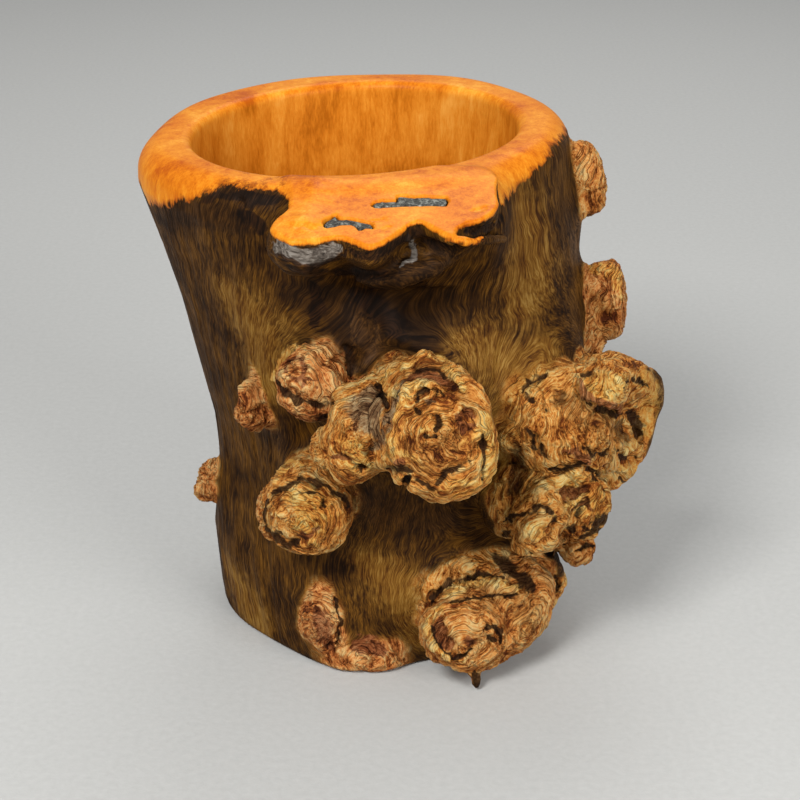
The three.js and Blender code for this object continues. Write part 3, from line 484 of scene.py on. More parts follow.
class Grid:
    """A field on cells of one pitch over a box: less than 0 in what is solid, in millimetres."""

    MARGIN = 2.5  # cells outside the box
    SLOPE_STEP = 0.7  # cells to either side of a point between which the slope is taken

    def __init__(self, low, high, pitch):
        self.pitch = pitch
        self.low = np.array(low) - self.MARGIN * pitch
        counts = np.ceil((np.array(high) - self.low) / pitch).astype(int) + 3
        self.axes = [self.low[i] + pitch * np.arange(counts[i]) for i in range(3)]
        self.values = np.empty(counts, np.float32)

    def window(self, low=(-np.inf,) * 3, high=(np.inf,) * 3):
        """Slices of the cells in a box, and their x, y and z."""
        spans = []
        for axis, lo, hi in zip(self.axes, low, high):
            first, last = np.searchsorted(axis, [lo, hi])
            spans.append(slice(first, max(last, first)))
        x, y, z = [axis[span].astype(np.float32) for axis, span in zip(self.axes, spans)]
        return tuple(spans), x[:, None, None], y[None, :, None], z[None, None, :]

    def at(self, points):
        """The field at points, between its cells."""
        place = (points - self.low) / self.pitch
        cell = np.clip(np.floor(place).astype(int), 0, np.array(self.values.shape) - 2)
        ends = [(1 - share, share) for share in np.clip(place - cell, 0, 1).T]
        total = np.zeros(len(points))
        for i, j, k in CORNERS:
            weight = ends[0][i] * ends[1][j] * ends[2][k]
            total += weight * self.values[cell[:, 0] + i, cell[:, 1] + j, cell[:, 2] + k]
        return total

    def slope(self, points):
        """Unit normals and gradient lengths at points."""
        step = self.SLOPE_STEP * self.pitch
        rises = [self.at(points + step * axis) - self.at(points - step * axis) for axis in np.eye(3)]
        grads = np.stack(rises, 1) / (2 * step)
        length = np.linalg.norm(grads, axis=1)
        return grads / np.maximum(length, 1e-6)[:, None], length


def grow_trunk(grid):
    """The solid trunk, with its sloping, rounded rim."""
    x, y = np.meshgrid(grid.axes[0], grid.axes[1], indexing="ij")
    turns = np.arange(0, 361, 1.0)
    for layer, height in enumerate(grid.axes[2]):
        cx, cy, _ = girth(height)
        azimuth = np.degrees(np.arctan2(x - cx, -(y - cy))) % 360
        radius = np.interp(azimuth, turns, trunk_radius(turns, height))
        grid.values[:, :, layer] = np.hypot(x - cx, y - cy) - radius
    _, x, y, z = grid.window()
    grid.values[...] = rounded_meet(grid.values, z - rim_height(x), RIM_ROUNDING)


ROUGHNESS = 0.07  # how uneven a burl is, as a share of its radius
BURL_ROOM = 1.25  # how far its bumps may reach, as a share of its size
FILLET_ROOM = 3
STEM_WIDTH = 1.05  # width of a stem's root, as a share of its head's
STEM_TAPER = 0.27  # how much narrower the stem is under the head


def burl_parts(burl, x, y, z):
    """Fields of a burl's head and of its stem."""
    wide, tall, deep = burl.size
    side, out, up = burl.local(x, y, z)
    waves, swell, phase = burl.lobes
    turn = np.arctan2(side, up)
    wobble = 1 + swell * (np.cos(waves * turn + np.radians(phase)) + 0.6 * np.cos((waves + 3) * turn))
    size = 0.45 * (wide + tall) / 2 + 1.5  # of its bumps
    wobble = wobble + ROUGHNESS * noises[0](x, y, z, size)
    wobble = wobble + 0.5 * ROUGHNESS * noises[1](2.3 * x, 2.3 * y, 2.3 * z, size)
    across = np.hypot(side / wide, up / tall) / wobble
    power = burl.power
    head = ((across ** power + np.abs(out / deep) ** power) ** (1 / power) - 1) * min(wide, tall, deep)
    share = np.clip((out + burl.stem) / burl.stem, 0, 1)
    waist = STEM_WIDTH - STEM_TAPER * smooth_step(share, 0, 0.9)
    stem = np.maximum((across - waist) * min(wide, tall), np.maximum(out, -out - burl.stem))
    return head, stem


def box_of(points, reach):
    """Corners of the box round points, with room to spare."""
    points = np.array(points)
    return points.min(0) - reach, points.max(0) + reach


def grow_burls(grid):
    for burl in BURLS.values():
        tip = burl.centre + burl.axes[1] * burl.size[2]
        root = burl.centre - burl.axes[1] * burl.stem
        reach = BURL_ROOM * max(burl.size) + FILLET_ROOM
        spans, x, y, z = grid.window(*box_of([tip, root], reach))
        head, stem = burl_parts(burl, x, y, z)
        here = grid.values[spans]
        here = joined(here, stem, burl.root)
        grid.values[spans] = joined(here, head, burl.merge)


def along_curve(points, x, y, z):
    """Distance to a line through points, and the share of the way along it."""
    nearest, share = np.full(np.broadcast(x, y, z).shape, 1e9, np.float32), 0
    for i in range(len(points) - 1):
        a, b = points[i], points[i + 1]
        way = b - a
        t = ((x - a[0]) * way[0] + (y - a[1]) * way[1] + (z - a[2]) * way[2]) / max(way @ way, 1e-9)
        t = np.clip(t, 0, 1)
        dx, dy, dz = x - a[0] - t * way[0], y - a[1] - t * way[1], z - a[2] - t * way[2]
        off = np.sqrt(dx ** 2 + dy ** 2 + dz ** 2)
        share = np.where(off < nearest, (i + t) / (len(points) - 1), share)
        nearest = np.minimum(nearest, off)
    return nearest, share


def smoothed_line(points, steps):
    """More points on a smooth curve through the given ones."""
    points = np.array(points, float)
    ends = np.vstack([2 * points[0] - points[1], points, 2 * points[-1] - points[-2]])
    line = []
    for i in range(1, len(ends) - 2):
        p0, p1, p2, p3 = ends[i - 1:i + 3]
        for t in np.arange(steps) / steps:
            line.append(0.5 * (2 * p1 + (p2 - p0) * t + (2 * p0 - 5 * p1 + 4 * p2 - p3) * t * t
                               + (3 * p1 - p0 - 3 * p2 + p3) * t ** 3))
    return np.array(line + [points[-1]])


def grow_curls(grid):
    for radius, merge, path in CURLS.values():
        line = smoothed_line([polar(*place) for place in path], 3)
        spans, x, y, z = grid.window(*box_of(line, radius + 4))
        off, share = along_curve(line, x, y, z)
        # thinner towards both ends, and uneven
        thick = radius * (0.55 + 0.45 * np.sin(np.pi * np.clip(share, 0.02, 0.98)) ** 0.5)
        thick = thick * (1 + 0.12 * noises[2](x, y, z, 4))
        grid.values[spans] = joined(grid.values[spans], off - thick, merge)


def cut_clefts(grid):
    for at, aim, size in CLEFTS:
        centre, axes = polar(*at), turned(*aim)
        spans, x, y, z = grid.window(*box_of([centre], max(size) + FILLET_ROOM))
        side, out, up = in_axes(centre, axes, x, y, z)
        wide, tall, deep = size
        ball = (np.sqrt((side / wide) ** 2 + (out / deep) ** 2 + (up / tall) ** 2) - 1) * min(size)
        grid.values[spans] = cut(grid.values[spans], ball, CLEFT_ROUNDING)


def outline_distance(outline, x, y):
    """Distance to a closed outline, less than 0 inside it."""
    nearest = np.full(x.shape, 1e9)
    inside = np.zeros(x.shape, bool)
    for i in range(len(outline)):
        a, b = outline[i - 1], outline[i]
        way = b - a
        t = np.clip(((x - a[0]) * way[0] + (y - a[1]) * way[1]) / max(way @ way, 1e-9), 0, 1)
        nearest = np.minimum(nearest, np.hypot(x - a[0] - t * way[0], y - a[1] - t * way[1]))
        crosses = (a[1] > y) != (b[1] > y)
        with np.errstate(divide="ignore", invalid="ignore"):
            inside ^= crosses & (x < (b[0] - a[0]) * (y - a[1]) / (b[1] - a[1]) + a[0])
    return np.where(inside, -nearest, nearest)


def grow_lip(grid):
    """The lip: its outline, drawn in more and more with depth, under its sloping top."""
    outline = smoothed_line(np.vstack([LIP_OUTLINE, LIP_OUTLINE[:1]]), 4)[:-1]
    low, high = box_of(outline, LIP_ROOM)
    bottom, top = RIM_LEVEL - LIP_THICKNESS - LIP_ROOM, HEIGHT + LIP_ROOM
    spans, x, y, z = grid.window((*low, bottom), (*high, top))
    x, y, z = np.broadcast_arrays(x, y, z)
    depth = lip_height(x, y) - z
    levels = np.linspace(0, LIP_THICKNESS, len(LIP_UNDERSIDE))
    share = np.interp(depth, levels, LIP_UNDERSIDE)
    width = LIP_NECK + (1 - LIP_NECK) * share
    x = LIP_MIDDLE_X + (x - LIP_MIDDLE_X) / width
    stretched = LIP_HINGE_Y + (y - LIP_HINGE_Y) / share
    stretched = np.where(y < LIP_HINGE_Y, stretched, y)
    slack = 0.8 * noises[3](x, y, z, 6)
    side = outline_distance(outline, x + 0.5 * slack, stretched + slack)
    side = side * np.where(share < 0.9, LIP_STRETCHED_STEEPNESS, 1)
    shape = np.maximum(rounded_meet(side, -depth, LIP_ROUNDING), depth - LIP_THICKNESS)
    grid.values[spans] = joined(grid.values[spans], shape, LIP_FILLET)


FOOT_EDGE = 1.5  # rounding of the edges that the pot stands on


def bore_out(grid):
    """Cuts the well and the disc's rebate, and levels the foot."""
    _, x, y, z = grid.window()
    off = np.hypot(x, y)
    solid = rounded_meet(grid.values, bore_radius(z) - off, MOUTH_ROUNDING)
    rebate = np.maximum(off - DISC_RADIUS - GLUE_GAP, z - DISC_THICKNESS - GLUE_GAP)
    solid = np.maximum(solid, -rebate)
    grid.values[...] = rounded_meet(solid, -z, FOOT_EDGE)


def surface(grid):
    """Vertices and quads where the field is 0, one vertex per cell that it crosses."""
    field = grid.values
    inside = field < 0
    cells = np.array(field.shape) - 1
    count = np.zeros(cells, np.int8)
    for i, j, k in CORNERS:
        count += inside[i:cells[0] + i, j:cells[1] + j, k:cells[2] + k]
    active = (count > 0) & (count < 8)
    index = np.full(cells, -1, np.int32)
    index[active] = np.arange(active.sum())
    where = np.argwhere(active)
    total, crossings = np.zeros((len(where), 3)), np.zeros(len(where))
    for a in CORNERS:
        for axis in range(3):
            if a[axis]:
                continue
            b = np.array(a)
            b[axis] = 1
            fa = field[tuple((where + a).T)]
            fb = field[tuple((where + b).T)]
            crossed = (fa < 0) != (fb < 0)
            share = fa[crossed] / (fa[crossed] - fb[crossed])
            point = (where[crossed] + a).astype(float)
            point[:, axis] += share
            total[crossed] += point
            crossings[crossed] += 1
    vertices = grid.low + grid.pitch * total / crossings[:, None]
    return vertices, np.vstack([quads_across(axis, inside, index) for axis in range(3)])


def quads_across(axis, inside, index):
    """Quads that join the cells round each edge along an axis, where the surface crosses that edge."""
    one, two = (axis + 1) % 3, (axis + 2) % 3
    low, high = [slice(None)] * 3, [slice(None)] * 3
    low[axis], high[axis] = slice(None, -1), slice(1, None)
    crossed = np.argwhere(inside[tuple(low)] != inside[tuple(high)])
    for side in (one, two):
        crossed = crossed[(crossed[:, side] > 0) & (crossed[:, side] < index.shape[side])]
    back_one, back_two = np.eye(3, dtype=int)[[one, two]]
    ring = [crossed, crossed - back_one, crossed - back_one - back_two, crossed - back_two]
    quads = np.stack([index[tuple(place.T)] for place in ring], 1)
    outward = ~inside[tuple(crossed.T)]
    quads[outward] = quads[outward][:, ::-1]
    return quads


LEAST_STEEPNESS = 0.3  # keeps vertices from leaping where the field is flat


def settle(grid, vertices, turns=2):
    """Moves vertices onto the field's zero."""
    for _ in range(turns):
        normal, length = grid.slope(vertices)
        value = grid.at(vertices)
        step = np.clip(value / np.maximum(length, LEAST_STEEPNESS), -grid.pitch, grid.pitch)
        vertices = vertices - normal * step[:, None]
    return vertices


def evened(vertices, quads, turns=2):
    """Draws each vertex towards the middle of its neighbours."""
    for _ in range(turns):
        total, count = np.zeros_like(vertices), np.zeros(len(vertices))
        for i in range(4):
            for j in ((i + 1) % 4, (i + 3) % 4):
                for axis in range(3):
                    total[:, axis] += np.bincount(quads[:, i], vertices[quads[:, j], axis], len(vertices))
                count += np.bincount(quads[:, i], minlength=len(vertices))
        vertices = 0.5 * vertices + 0.5 * total / np.maximum(count, 1)[:, None]
    return vertices


def seen_points(grid, pixels):
    """Where the photograph's rays through pixels first meet the field, or pass closest to it."""
    tilt = math.radians(CAMERA_TILT)
    ahead = np.array([0, math.cos(tilt), -math.sin(tilt)])
    upward = np.array([0, math.sin(tilt), math.cos(tilt)])
    pixels = (np.array(pixels, float) - FRAME_SIDE / 2) / CAMERA_FOCUS
    rays = ahead + pixels[:, :1] * np.array([1, 0, 0]) - pixels[:, 1:] * upward
    rays /= np.linalg.norm(rays, axis=1)[:, None]
    points = np.array(CAMERA_PLACE) + rays[:, None, :] * RAY_STEPS[None, :, None]
    top = grid.low + grid.pitch * (np.array(grid.values.shape) - 1)
    outside = ((points < grid.low) | (points > top)).any(2)
    values = grid.at(points.reshape(-1, 3)).reshape(len(rays), -1)
    values = np.where(outside, np.inf, values)
    first = np.where((values < 0).any(1), np.argmax(values < 0, 1), np.argmin(values, 1))
    return points[np.arange(len(rays)), first]


def mark_lines(grid):
    """The marks' lines on the surface as it is now, by name."""
    return {name: smoothed_line(seen_points(grid, pixels), 4) for name, (_, _, _, pixels) in MARKS.items()}


def stroke_width(width, share):
    """A stroke thins out towards both its ends."""
    return width * (0.5 + 0.5 * np.clip(4 * share * (1 - share), 0, 1) ** 0.5)


WAVER = (0.75, 2.2)  # how far strokes waver, and over what length
FRAY = (0.3, 0.9)  # the same for their finer unevenness
MARK_REACH = 2.2  # widths of a mark beyond which it leaves nothing


def wavered(x, y, z):
    """Coordinates pushed about a little, so that strokes come out ragged."""
    return [part + WAVER[0] * noises[i](x, y, z, WAVER[1]) + FRAY[0] * noises[i + 3](x, y, z, FRAY[1])
            for i, part in enumerate((x, y, z))]


def carve_marks(grid, lines):
    """Raises or cuts the surface along the marks."""
    for name, (width, rise, _, _) in MARKS.items():
        if not rise:
            continue
        spans, x, y, z = grid.window(*box_of(lines[name], MARK_REACH * width))
        off, share = along_curve(lines[name], *wavered(x, y, z))
        width = stroke_width(width, share) * (1 + 0.25 * noises[4](x, y, z, 2.1))
        grid.values[spans] -= (rise * np.exp(-(off / width) ** 2)).astype(np.float32)


# How far each paint spreads, as a share of its mark's width, and how sharply it ends.
PAINTS = {
    "dark": (0.68, 2.5), "pale": (0.85, 2), "grey": (0.9, 2.5), "red": (1, 2), "orange": (1, 3),
    "ash_and_shade": (1, 2), "ruddy": (1, 2), "umber_and_shade": (1, 2), "painted_highlight": (1, 2), "shade": (1, 2), "gold": (1, 2),
}
PAINTED_SIDES = 0.12  # and how much further for each millimetre that the mark rises or cuts


def painted(vertices, lines, floors):
    """How much of each paint the marks leave, along their lines before and after the carving."""
    masks = {paint: np.zeros(len(vertices)) for paint in PAINTS}
    for name, (width, rise, paint, _) in MARKS.items():
        if not paint:
            continue
        share, sharpness = PAINTS[paint]
        reach = share * width + PAINTED_SIDES * abs(rise)
        low, high = box_of(lines[name], MARK_REACH * reach)
        near = ((vertices > low) & (vertices < high)).all(1)
        spots = wavered(*vertices[near].T)
        off, along = along_curve(lines[name], *spots)
        if rise:
            low_off, low_along = along_curve(floors[name], *spots)
            along = np.where(low_off < off, low_along, along)
            off = np.minimum(off, low_off)
        reach = stroke_width(reach, along) * (1 + 0.35 * noises[4](*vertices[near].T, 1.5))
        masks[paint][near] = np.maximum(masks[paint][near], np.exp(-(off / reach) ** sharpness))
    return masks


def in_scene(name, data):
    thing = bpy.data.objects.new(name, data)
    bpy.context.scene.collection.objects.link(thing)
    return thing


def mesh_object(name, vertices, quads):
    mesh = bpy.data.meshes.new(name)
    mesh.vertices.add(len(vertices))
    mesh.vertices.foreach_set("co", (vertices * MM).astype(np.float32).ravel())
    mesh.loops.add(quads.size)
    mesh.loops.foreach_set("vertex_index", quads.astype(np.int32).ravel())
    mesh.polygons.add(len(quads))
    mesh.polygons.foreach_set("loop_start", np.arange(0, quads.size, 4, dtype=np.int32))
    mesh.update(calc_edges=True)
    mesh.polygons.foreach_set("use_smooth", np.ones(len(quads), bool))
    mesh.validate()
    return in_scene(name, mesh)


def azimuth_of(points):
    """Degrees round the bore's axis, 0 at the front."""
    return np.degrees(np.arctan2(points[:, 0], -points[:, 1]))


def sanded_depth(grid):
    """Azimuths and depths under the rim of the sanded band's lower edge."""
    edge = []
    for pixels in (SANDED_EDGE, SANDED_EDGE_RIGHT):
        points = seen_points(grid, pixels)
        edge += list(zip(azimuth_of(points), rim_height(points[:, 0]) - points[:, 2]))
    edge = sorted((azimuth % 360, depth) for azimuth, depth in edge + SANDED_BACK)
    return np.array(edge).T


def sanded(points, edge):
    """Millimetres that points lie inside the sanded surfaces, less than 0 outside."""
    x, y, z = points.T
    azimuth = azimuth_of(points)
    limit = np.interp(azimuth % 360, edge[0], edge[1], period=360)
    ragged = layered(SANDED_UNEVENNESS, x, y, z)
    band = limit + ragged - (rim_height(x) - z)
    on_lip = (outline_distance(smoothed_line(LIP_OUTLINE, 3), x, y) < LIP_MARGIN) & (y < LIP_HINGE_Y)
    lip = LIP_EDGE_SHARPNESS * (LIP_SANDED + 0.25 * ragged - (lip_height(x, y) - z))
    band = np.where(on_lip, lip, band)
    bore = np.minimum(bore_radius(z) + BORE_MARGIN - np.hypot(x, y), 1) * BORE_SANDED
    return np.maximum(band, np.where(z > DISC_THICKNESS - 1, bore, NOT_SANDED))


HEAD_REACH = 14  # how far past a burl its figure is looked for
HEAD_FADE, STEM_FADE = 2.2, 1.5  # distances over which the figure of a head and of its stem fades


def head_shares(points):
    """How near each point is to a burl (1 is on it), its coordinates in that burl, and the burl's number."""
    share = np.zeros(len(points))
    local = np.zeros((len(points), 3))
    seat = np.zeros(len(points))
    for number, (name, burl) in enumerate(BURLS.items()):
        # what carries the lip shows the trunk's fibres
        if name.startswith("lip_"):
            continue
        near = (np.abs(points - burl.centre) < max(burl.size) + HEAD_REACH).all(1)
        spot = points[near]
        head, stem = burl_parts(burl, *spot.T)
        along_stem = smooth_step(burl.local(*spot.T)[1], -0.8 * burl.stem, -0.35 * burl.stem)
        on_stem = 0.9 * along_stem * np.exp(-np.maximum(stem, 0) / STEM_FADE)
        here = np.maximum(np.exp(-np.maximum(head, 0) / HEAD_FADE), on_stem)
        better = here > share[near]
        where = np.flatnonzero(near)[better]
        share[where] = here[better]
        local[where] = np.stack(burl.local(*spot[better].T), 1)
        seat[where] = number
    return share, local, seat


FLOW_RADIUS = 54  # radius of the round wall on which the trunk's fibres are laid out
FLOW_SHARE = 0.9  # share of a burl's size round which they part


def flow(points):
    """Trunk fibres that part round the burls: distance across them and along them."""
    z = points[:, 2]
    turn = np.radians(azimuth_of(points))
    across, along = FLOW_RADIUS * turn, z
    for burl in BURLS.values():
        ds = FLOW_RADIUS * ((turn - np.radians(burl.at[0]) + np.pi) % (2 * np.pi) - np.pi)
        dz = z - burl.centre[2]
        size = FLOW_SHARE * (burl.size[0] + burl.size[1]) / 2
        apart = np.maximum(ds ** 2 + dz ** 2, size ** 2)
        across = across - size ** 2 * ds / apart
        along = along + size ** 2 * dz / apart
    return across, along


FIBRE_STRETCH = 12  # a fibre is this many times as long as it is wide
WHORL_WIDTH = 1.7  # width of the folds round a head, in the burl figure's unit
SWIRL = ((2, 2.6, 5.5), (3, 1.1, 2.4))  # layers of noise that bend the folds
BURL_STEP = 7.3  # sets the figures of two burls apart


def grain_vectors(points, share, local, seat):
    """Coordinates in which the figure of the trunk and of the burls is as long as it is wide."""
    across, along = flow(points)
    fine_waver, wide_waver = noises[0](across / 6, along / 1.7, 0), noises[1](across / 9, along / 5, 0)
    across = across + 0.35 * fine_waver + 0.7 * wide_waver
    side, out, up = local.T
    x, y, z = points.T
    proud = np.hypot(x, y) - trunk_radius(azimuth_of(points), z)
    turn, radius = across / FLOW_RADIUS, FLOW_RADIUS + np.maximum(proud - 2, 0)
    trunk = np.stack([radius * np.sin(turn), -radius * np.cos(turn), along / FIBRE_STRETCH], 1)
    share = np.maximum(share, smooth_step(proud, 3, 8) * smooth_step(share, 0.15, 0.4))
    share = share + 0.12 * noises[5](x, y, z, 3)
    swirl = layered(SWIRL, x, y, z)
    ring = np.hypot(side, up) - out + swirl
    turn = np.arctan2(side, up) + 0.25 * swirl
    head = np.stack([ring, WHORL_WIDTH * np.cos(turn), WHORL_WIDTH * np.sin(turn) + BURL_STEP * seat], 1)
    return trunk, head, smooth_step(share, 0.3, 0.85)


def ridged(value):
    """Noise with sharp crests."""
    return 1 - 2 * np.abs(value)


LUMPS = ((2, 0.5, 3.4), (3, 0.2, 1.3))  # layers of noise, in millimetres
BURLS_SUNK = 0.2  # keeps folds and lumps at the burls' level on the whole


def relief(points, trunk, head, blend, sand):
    """How far the surface stands out with its fibres, folds and lumps."""
    x, y, z = points.T
    a, b, c = head.T
    folds = 0.32 * ridged(noises[0](a / 1.7, b / 1.1, c / 1.1))
    folds = folds + 0.14 * ridged(noises[1](a / 0.8, b / 0.7, c / 0.7))
    burls = folds + layered(LUMPS, x, y, z) - BURLS_SUNK
    a, b, c = trunk.T
    fibres = 0.34 * noises[4](a / 4.5, b / 4.5, c / 3.5) + 0.16 * noises[5](a / 1.9, b / 1.9, c / 1.7)
    total = blend * burls + (1 - blend) * fibres
    unsanded, off_floor = smooth_step(-sand, -0.4, 0.8), smooth_step(z, 0.4, 3)
    return total * unsanded * off_floor


def refined(thing, wanted):
    """Splits the edges between wanted vertices once, and gives all vertices in millimetres."""
    mesh = bmesh.new()
    mesh.from_mesh(thing.data)
    mesh.verts.ensure_lookup_table()
    edges = [edge for edge in mesh.edges if all(wanted[vertex.index] for vertex in edge.verts)]
    bmesh.ops.subdivide_edges(mesh, edges=edges, cuts=1, use_grid_fill=True)
    mesh.to_mesh(thing.data)
    mesh.free()
    thing.data.polygons.foreach_set("use_smooth", np.ones(len(thing.data.polygons), bool))
    points = np.empty(len(thing.data.vertices) * 3, np.float32)
    thing.data.vertices.foreach_get("co", points)
    return points.reshape(-1, 3).astype(float) / MM


def put_attribute(thing, name, values):
    kind, field = ("FLOAT_VECTOR", "vector") if values.ndim == 2 else ("FLOAT", "value")
    layer = thing.data.attributes.new(name, kind, "POINT")
    layer.data.foreach_set(field, values.astype(np.float32).ravel())


# Painted shade: distances out from the surface, in millimetres, at which a place still near the wood counts
# as a hollow.
HOLLOW_SHADE_DEPTHS = {"near_hollow_shade": 1.6, "far_hollow_shade": 7.0}
FINE_SHARE = 0.3  # the surface is refined where it belongs to a burl by more than this
LIP_FINE_DEPTH = 9  # and down to this depth under the lip's top


def node_box(name):
    """A node's lowest and highest corners in millimetres."""
    return [np.array(corner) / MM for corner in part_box(name)]


def grown_field(low, high):
    """The pot's field, its marks' lines before and after carving, and the sanded band's lower edge."""
    grid = Grid(low, high, PITCH)
    for step in (grow_trunk, grow_lip, grow_burls, grow_curls, cut_clefts):
        step(grid)
    lines, edge = mark_lines(grid), sanded_depth(grid)
    carve_marks(grid, lines)
    floors = mark_lines(grid)
    cut_cracks(grid)
    bore_out(grid)
    return grid, lines, floors, edge


def skin(grid):
    """The pot's mesh, finer on the burls and the lip, and its vertices in millimetres."""
    vertices, quads = surface(grid)
    vertices = settle(grid, evened(settle(grid, vertices), quads))
    pot = mesh_object("root_wood_pot", vertices, quads)
    share, _, _ = head_shares(vertices)
    x, y, z = vertices.T
    lip_top = (lip_height(x, y) - z < LIP_FINE_DEPTH) & (y < LIP_HINGE_Y)
    return pot, settle(grid, refined(pot, (share > FINE_SHARE) | lip_top), 1)


def hollow_shade_masks(grid, vertices, normals, steepness):
    """How closed in each place is, by kind of hollow: 0 in the open, 1 where wood stands that far ahead."""
    masks = {}
    for name, depth in HOLLOW_SHADE_DEPTHS.items():
        open_depth = depth * np.clip(steepness, 0.5, 1)
        masks[name] = np.clip(1 - grid.at(vertices + depth * normals) / open_depth, 0, 1.5)
    return masks


def sculpted_pot():
    low, high = node_box("root_body")
    grid, lines, floors, edge = grown_field(low, high)
    pot, vertices = skin(grid)
    normals, steepness = grid.slope(vertices)
    share, local, seat = head_shares(vertices)
    sand = sanded(vertices, edge)
    trunk, head, blend = grain_vectors(vertices, share, local, seat)
    rise = relief(vertices, trunk, head, blend, sand)
    placed = np.clip(vertices + normals * rise[:, None], low, high)
    pot.data.vertices.foreach_set("co", (placed * MM).astype(np.float32).ravel())
    pot.data.update()

    masks = painted(vertices, lines, floors)
    ruddy = np.array([burl.ruddy for burl in BURLS.values()])
    masks["ruddy"] = np.maximum(masks["ruddy"], blend * ruddy[seat.astype(int)])
    # what is painted orange is shown as sanded
    sand = np.maximum(sand, 2.5 * masks.pop("orange") - 1.2)
    x, y, z = vertices.T
    in_bore = smooth_step(bore_radius(z) + 0.6 - np.hypot(x, y), -0.6, 0.3)
    well = in_bore * smooth_step(rim_height(x) - z, 0.5, 3)
    layers = {**masks, **hollow_shade_masks(grid, vertices, normals, steepness), "trunk_grain": trunk,
              "burl_grain": head, "burl": blend, "sanded": sand, "relief": rise, "well": well}
    for name, values in layers.items():
        put_attribute(pot, name, values)
    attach(pot, "root")
    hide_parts("root_body")
    return pot


# The cracks' outlines seen from above, the same as the solids', and the depth of their filler.
CRACKS = {
    "rim_crack_filler": [
        (5.3, -60.3), (6.3, -58.9), (7.5, -58.5), (11.3, -58.9), (11.5, -56.6), (12.5, -56.3),
        (15.6, -57.5), (17.7, -57.2), (20.1, -57.9), (23, -58.2), (23.3, -59.9), (22.8, -61.8),
        (19.1, -61.3), (15.6, -61.1), (12, -61), (8.4, -61.5), (6.3, -61.2),
    ],
    "lip_crack_filler": [
        (-5.9, -68), (-5.2, -66.4), (-4.1, -65.5), (-3.4, -64.1), (-2.6, -65.9), (0.2, -66.4), (3.1, -67.8),
        (5.2, -68.7), (5.7, -70.9), (4, -70.2), (2.7, -71.5), (1.9, -69.6), (0.3, -68.5), (-2.1, -68.5),
        (-3.7, -69.3), (-5.3, -69.7),
    ],
}
FILLER_DEPTH = 3.5
FILLER_PITCH = 0.22
FILLER_SUNK = 0.25  # how far the fillers' tops lie under the lip's
CRACK_ROUNDING = 0.3
CRACK_ROOM = 2  # round the box in which a crack is cut


def cut_cracks(grid):
    for outline in CRACKS.values():
        outline = np.array(outline)
        low, high = box_of(outline, CRACK_ROOM)
        spans, x, y, z = grid.window((*low, RIM_LEVEL - LIP_THICKNESS), (*high, HEIGHT + LIP_ROOM))
        x, y, z = np.broadcast_arrays(x, y, z)
        depth = lip_height(x, y) - z
        slot = np.maximum(outline_distance(outline, x, y) - GLUE_GAP, depth - FILLER_DEPTH - GLUE_GAP)
        grid.values[spans] = cut(grid.values[spans], slot, CRACK_ROUNDING)


def crack_filler(name, seed):
    """Filler with a rough, slightly sunken top."""
    outline = np.array(CRACKS[name])
    low, high = node_box(name)
    grid = Grid(low, high, FILLER_PITCH)
    x, y, z = np.meshgrid(*grid.axes, indexing="ij")
    depth = lip_height(x, y) - z
    rough = layered(((seed, 0.12, 0.7), (seed + 1, 0.1, 2)), x, y, z)
    side = outline_distance(outline, x, y) + 0.08
    grid.values[...] = rounded_meet(side, FILLER_SUNK + rough - depth, 0.35)
    grid.values[...] = np.maximum(grid.values, depth - FILLER_DEPTH)
    vertices, quads = surface(grid)
    vertices = np.clip(settle(grid, vertices), low, high)
    filler = mesh_object(name + "_looks", vertices, quads)
    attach(filler, "root")
    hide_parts(name)
    return filler


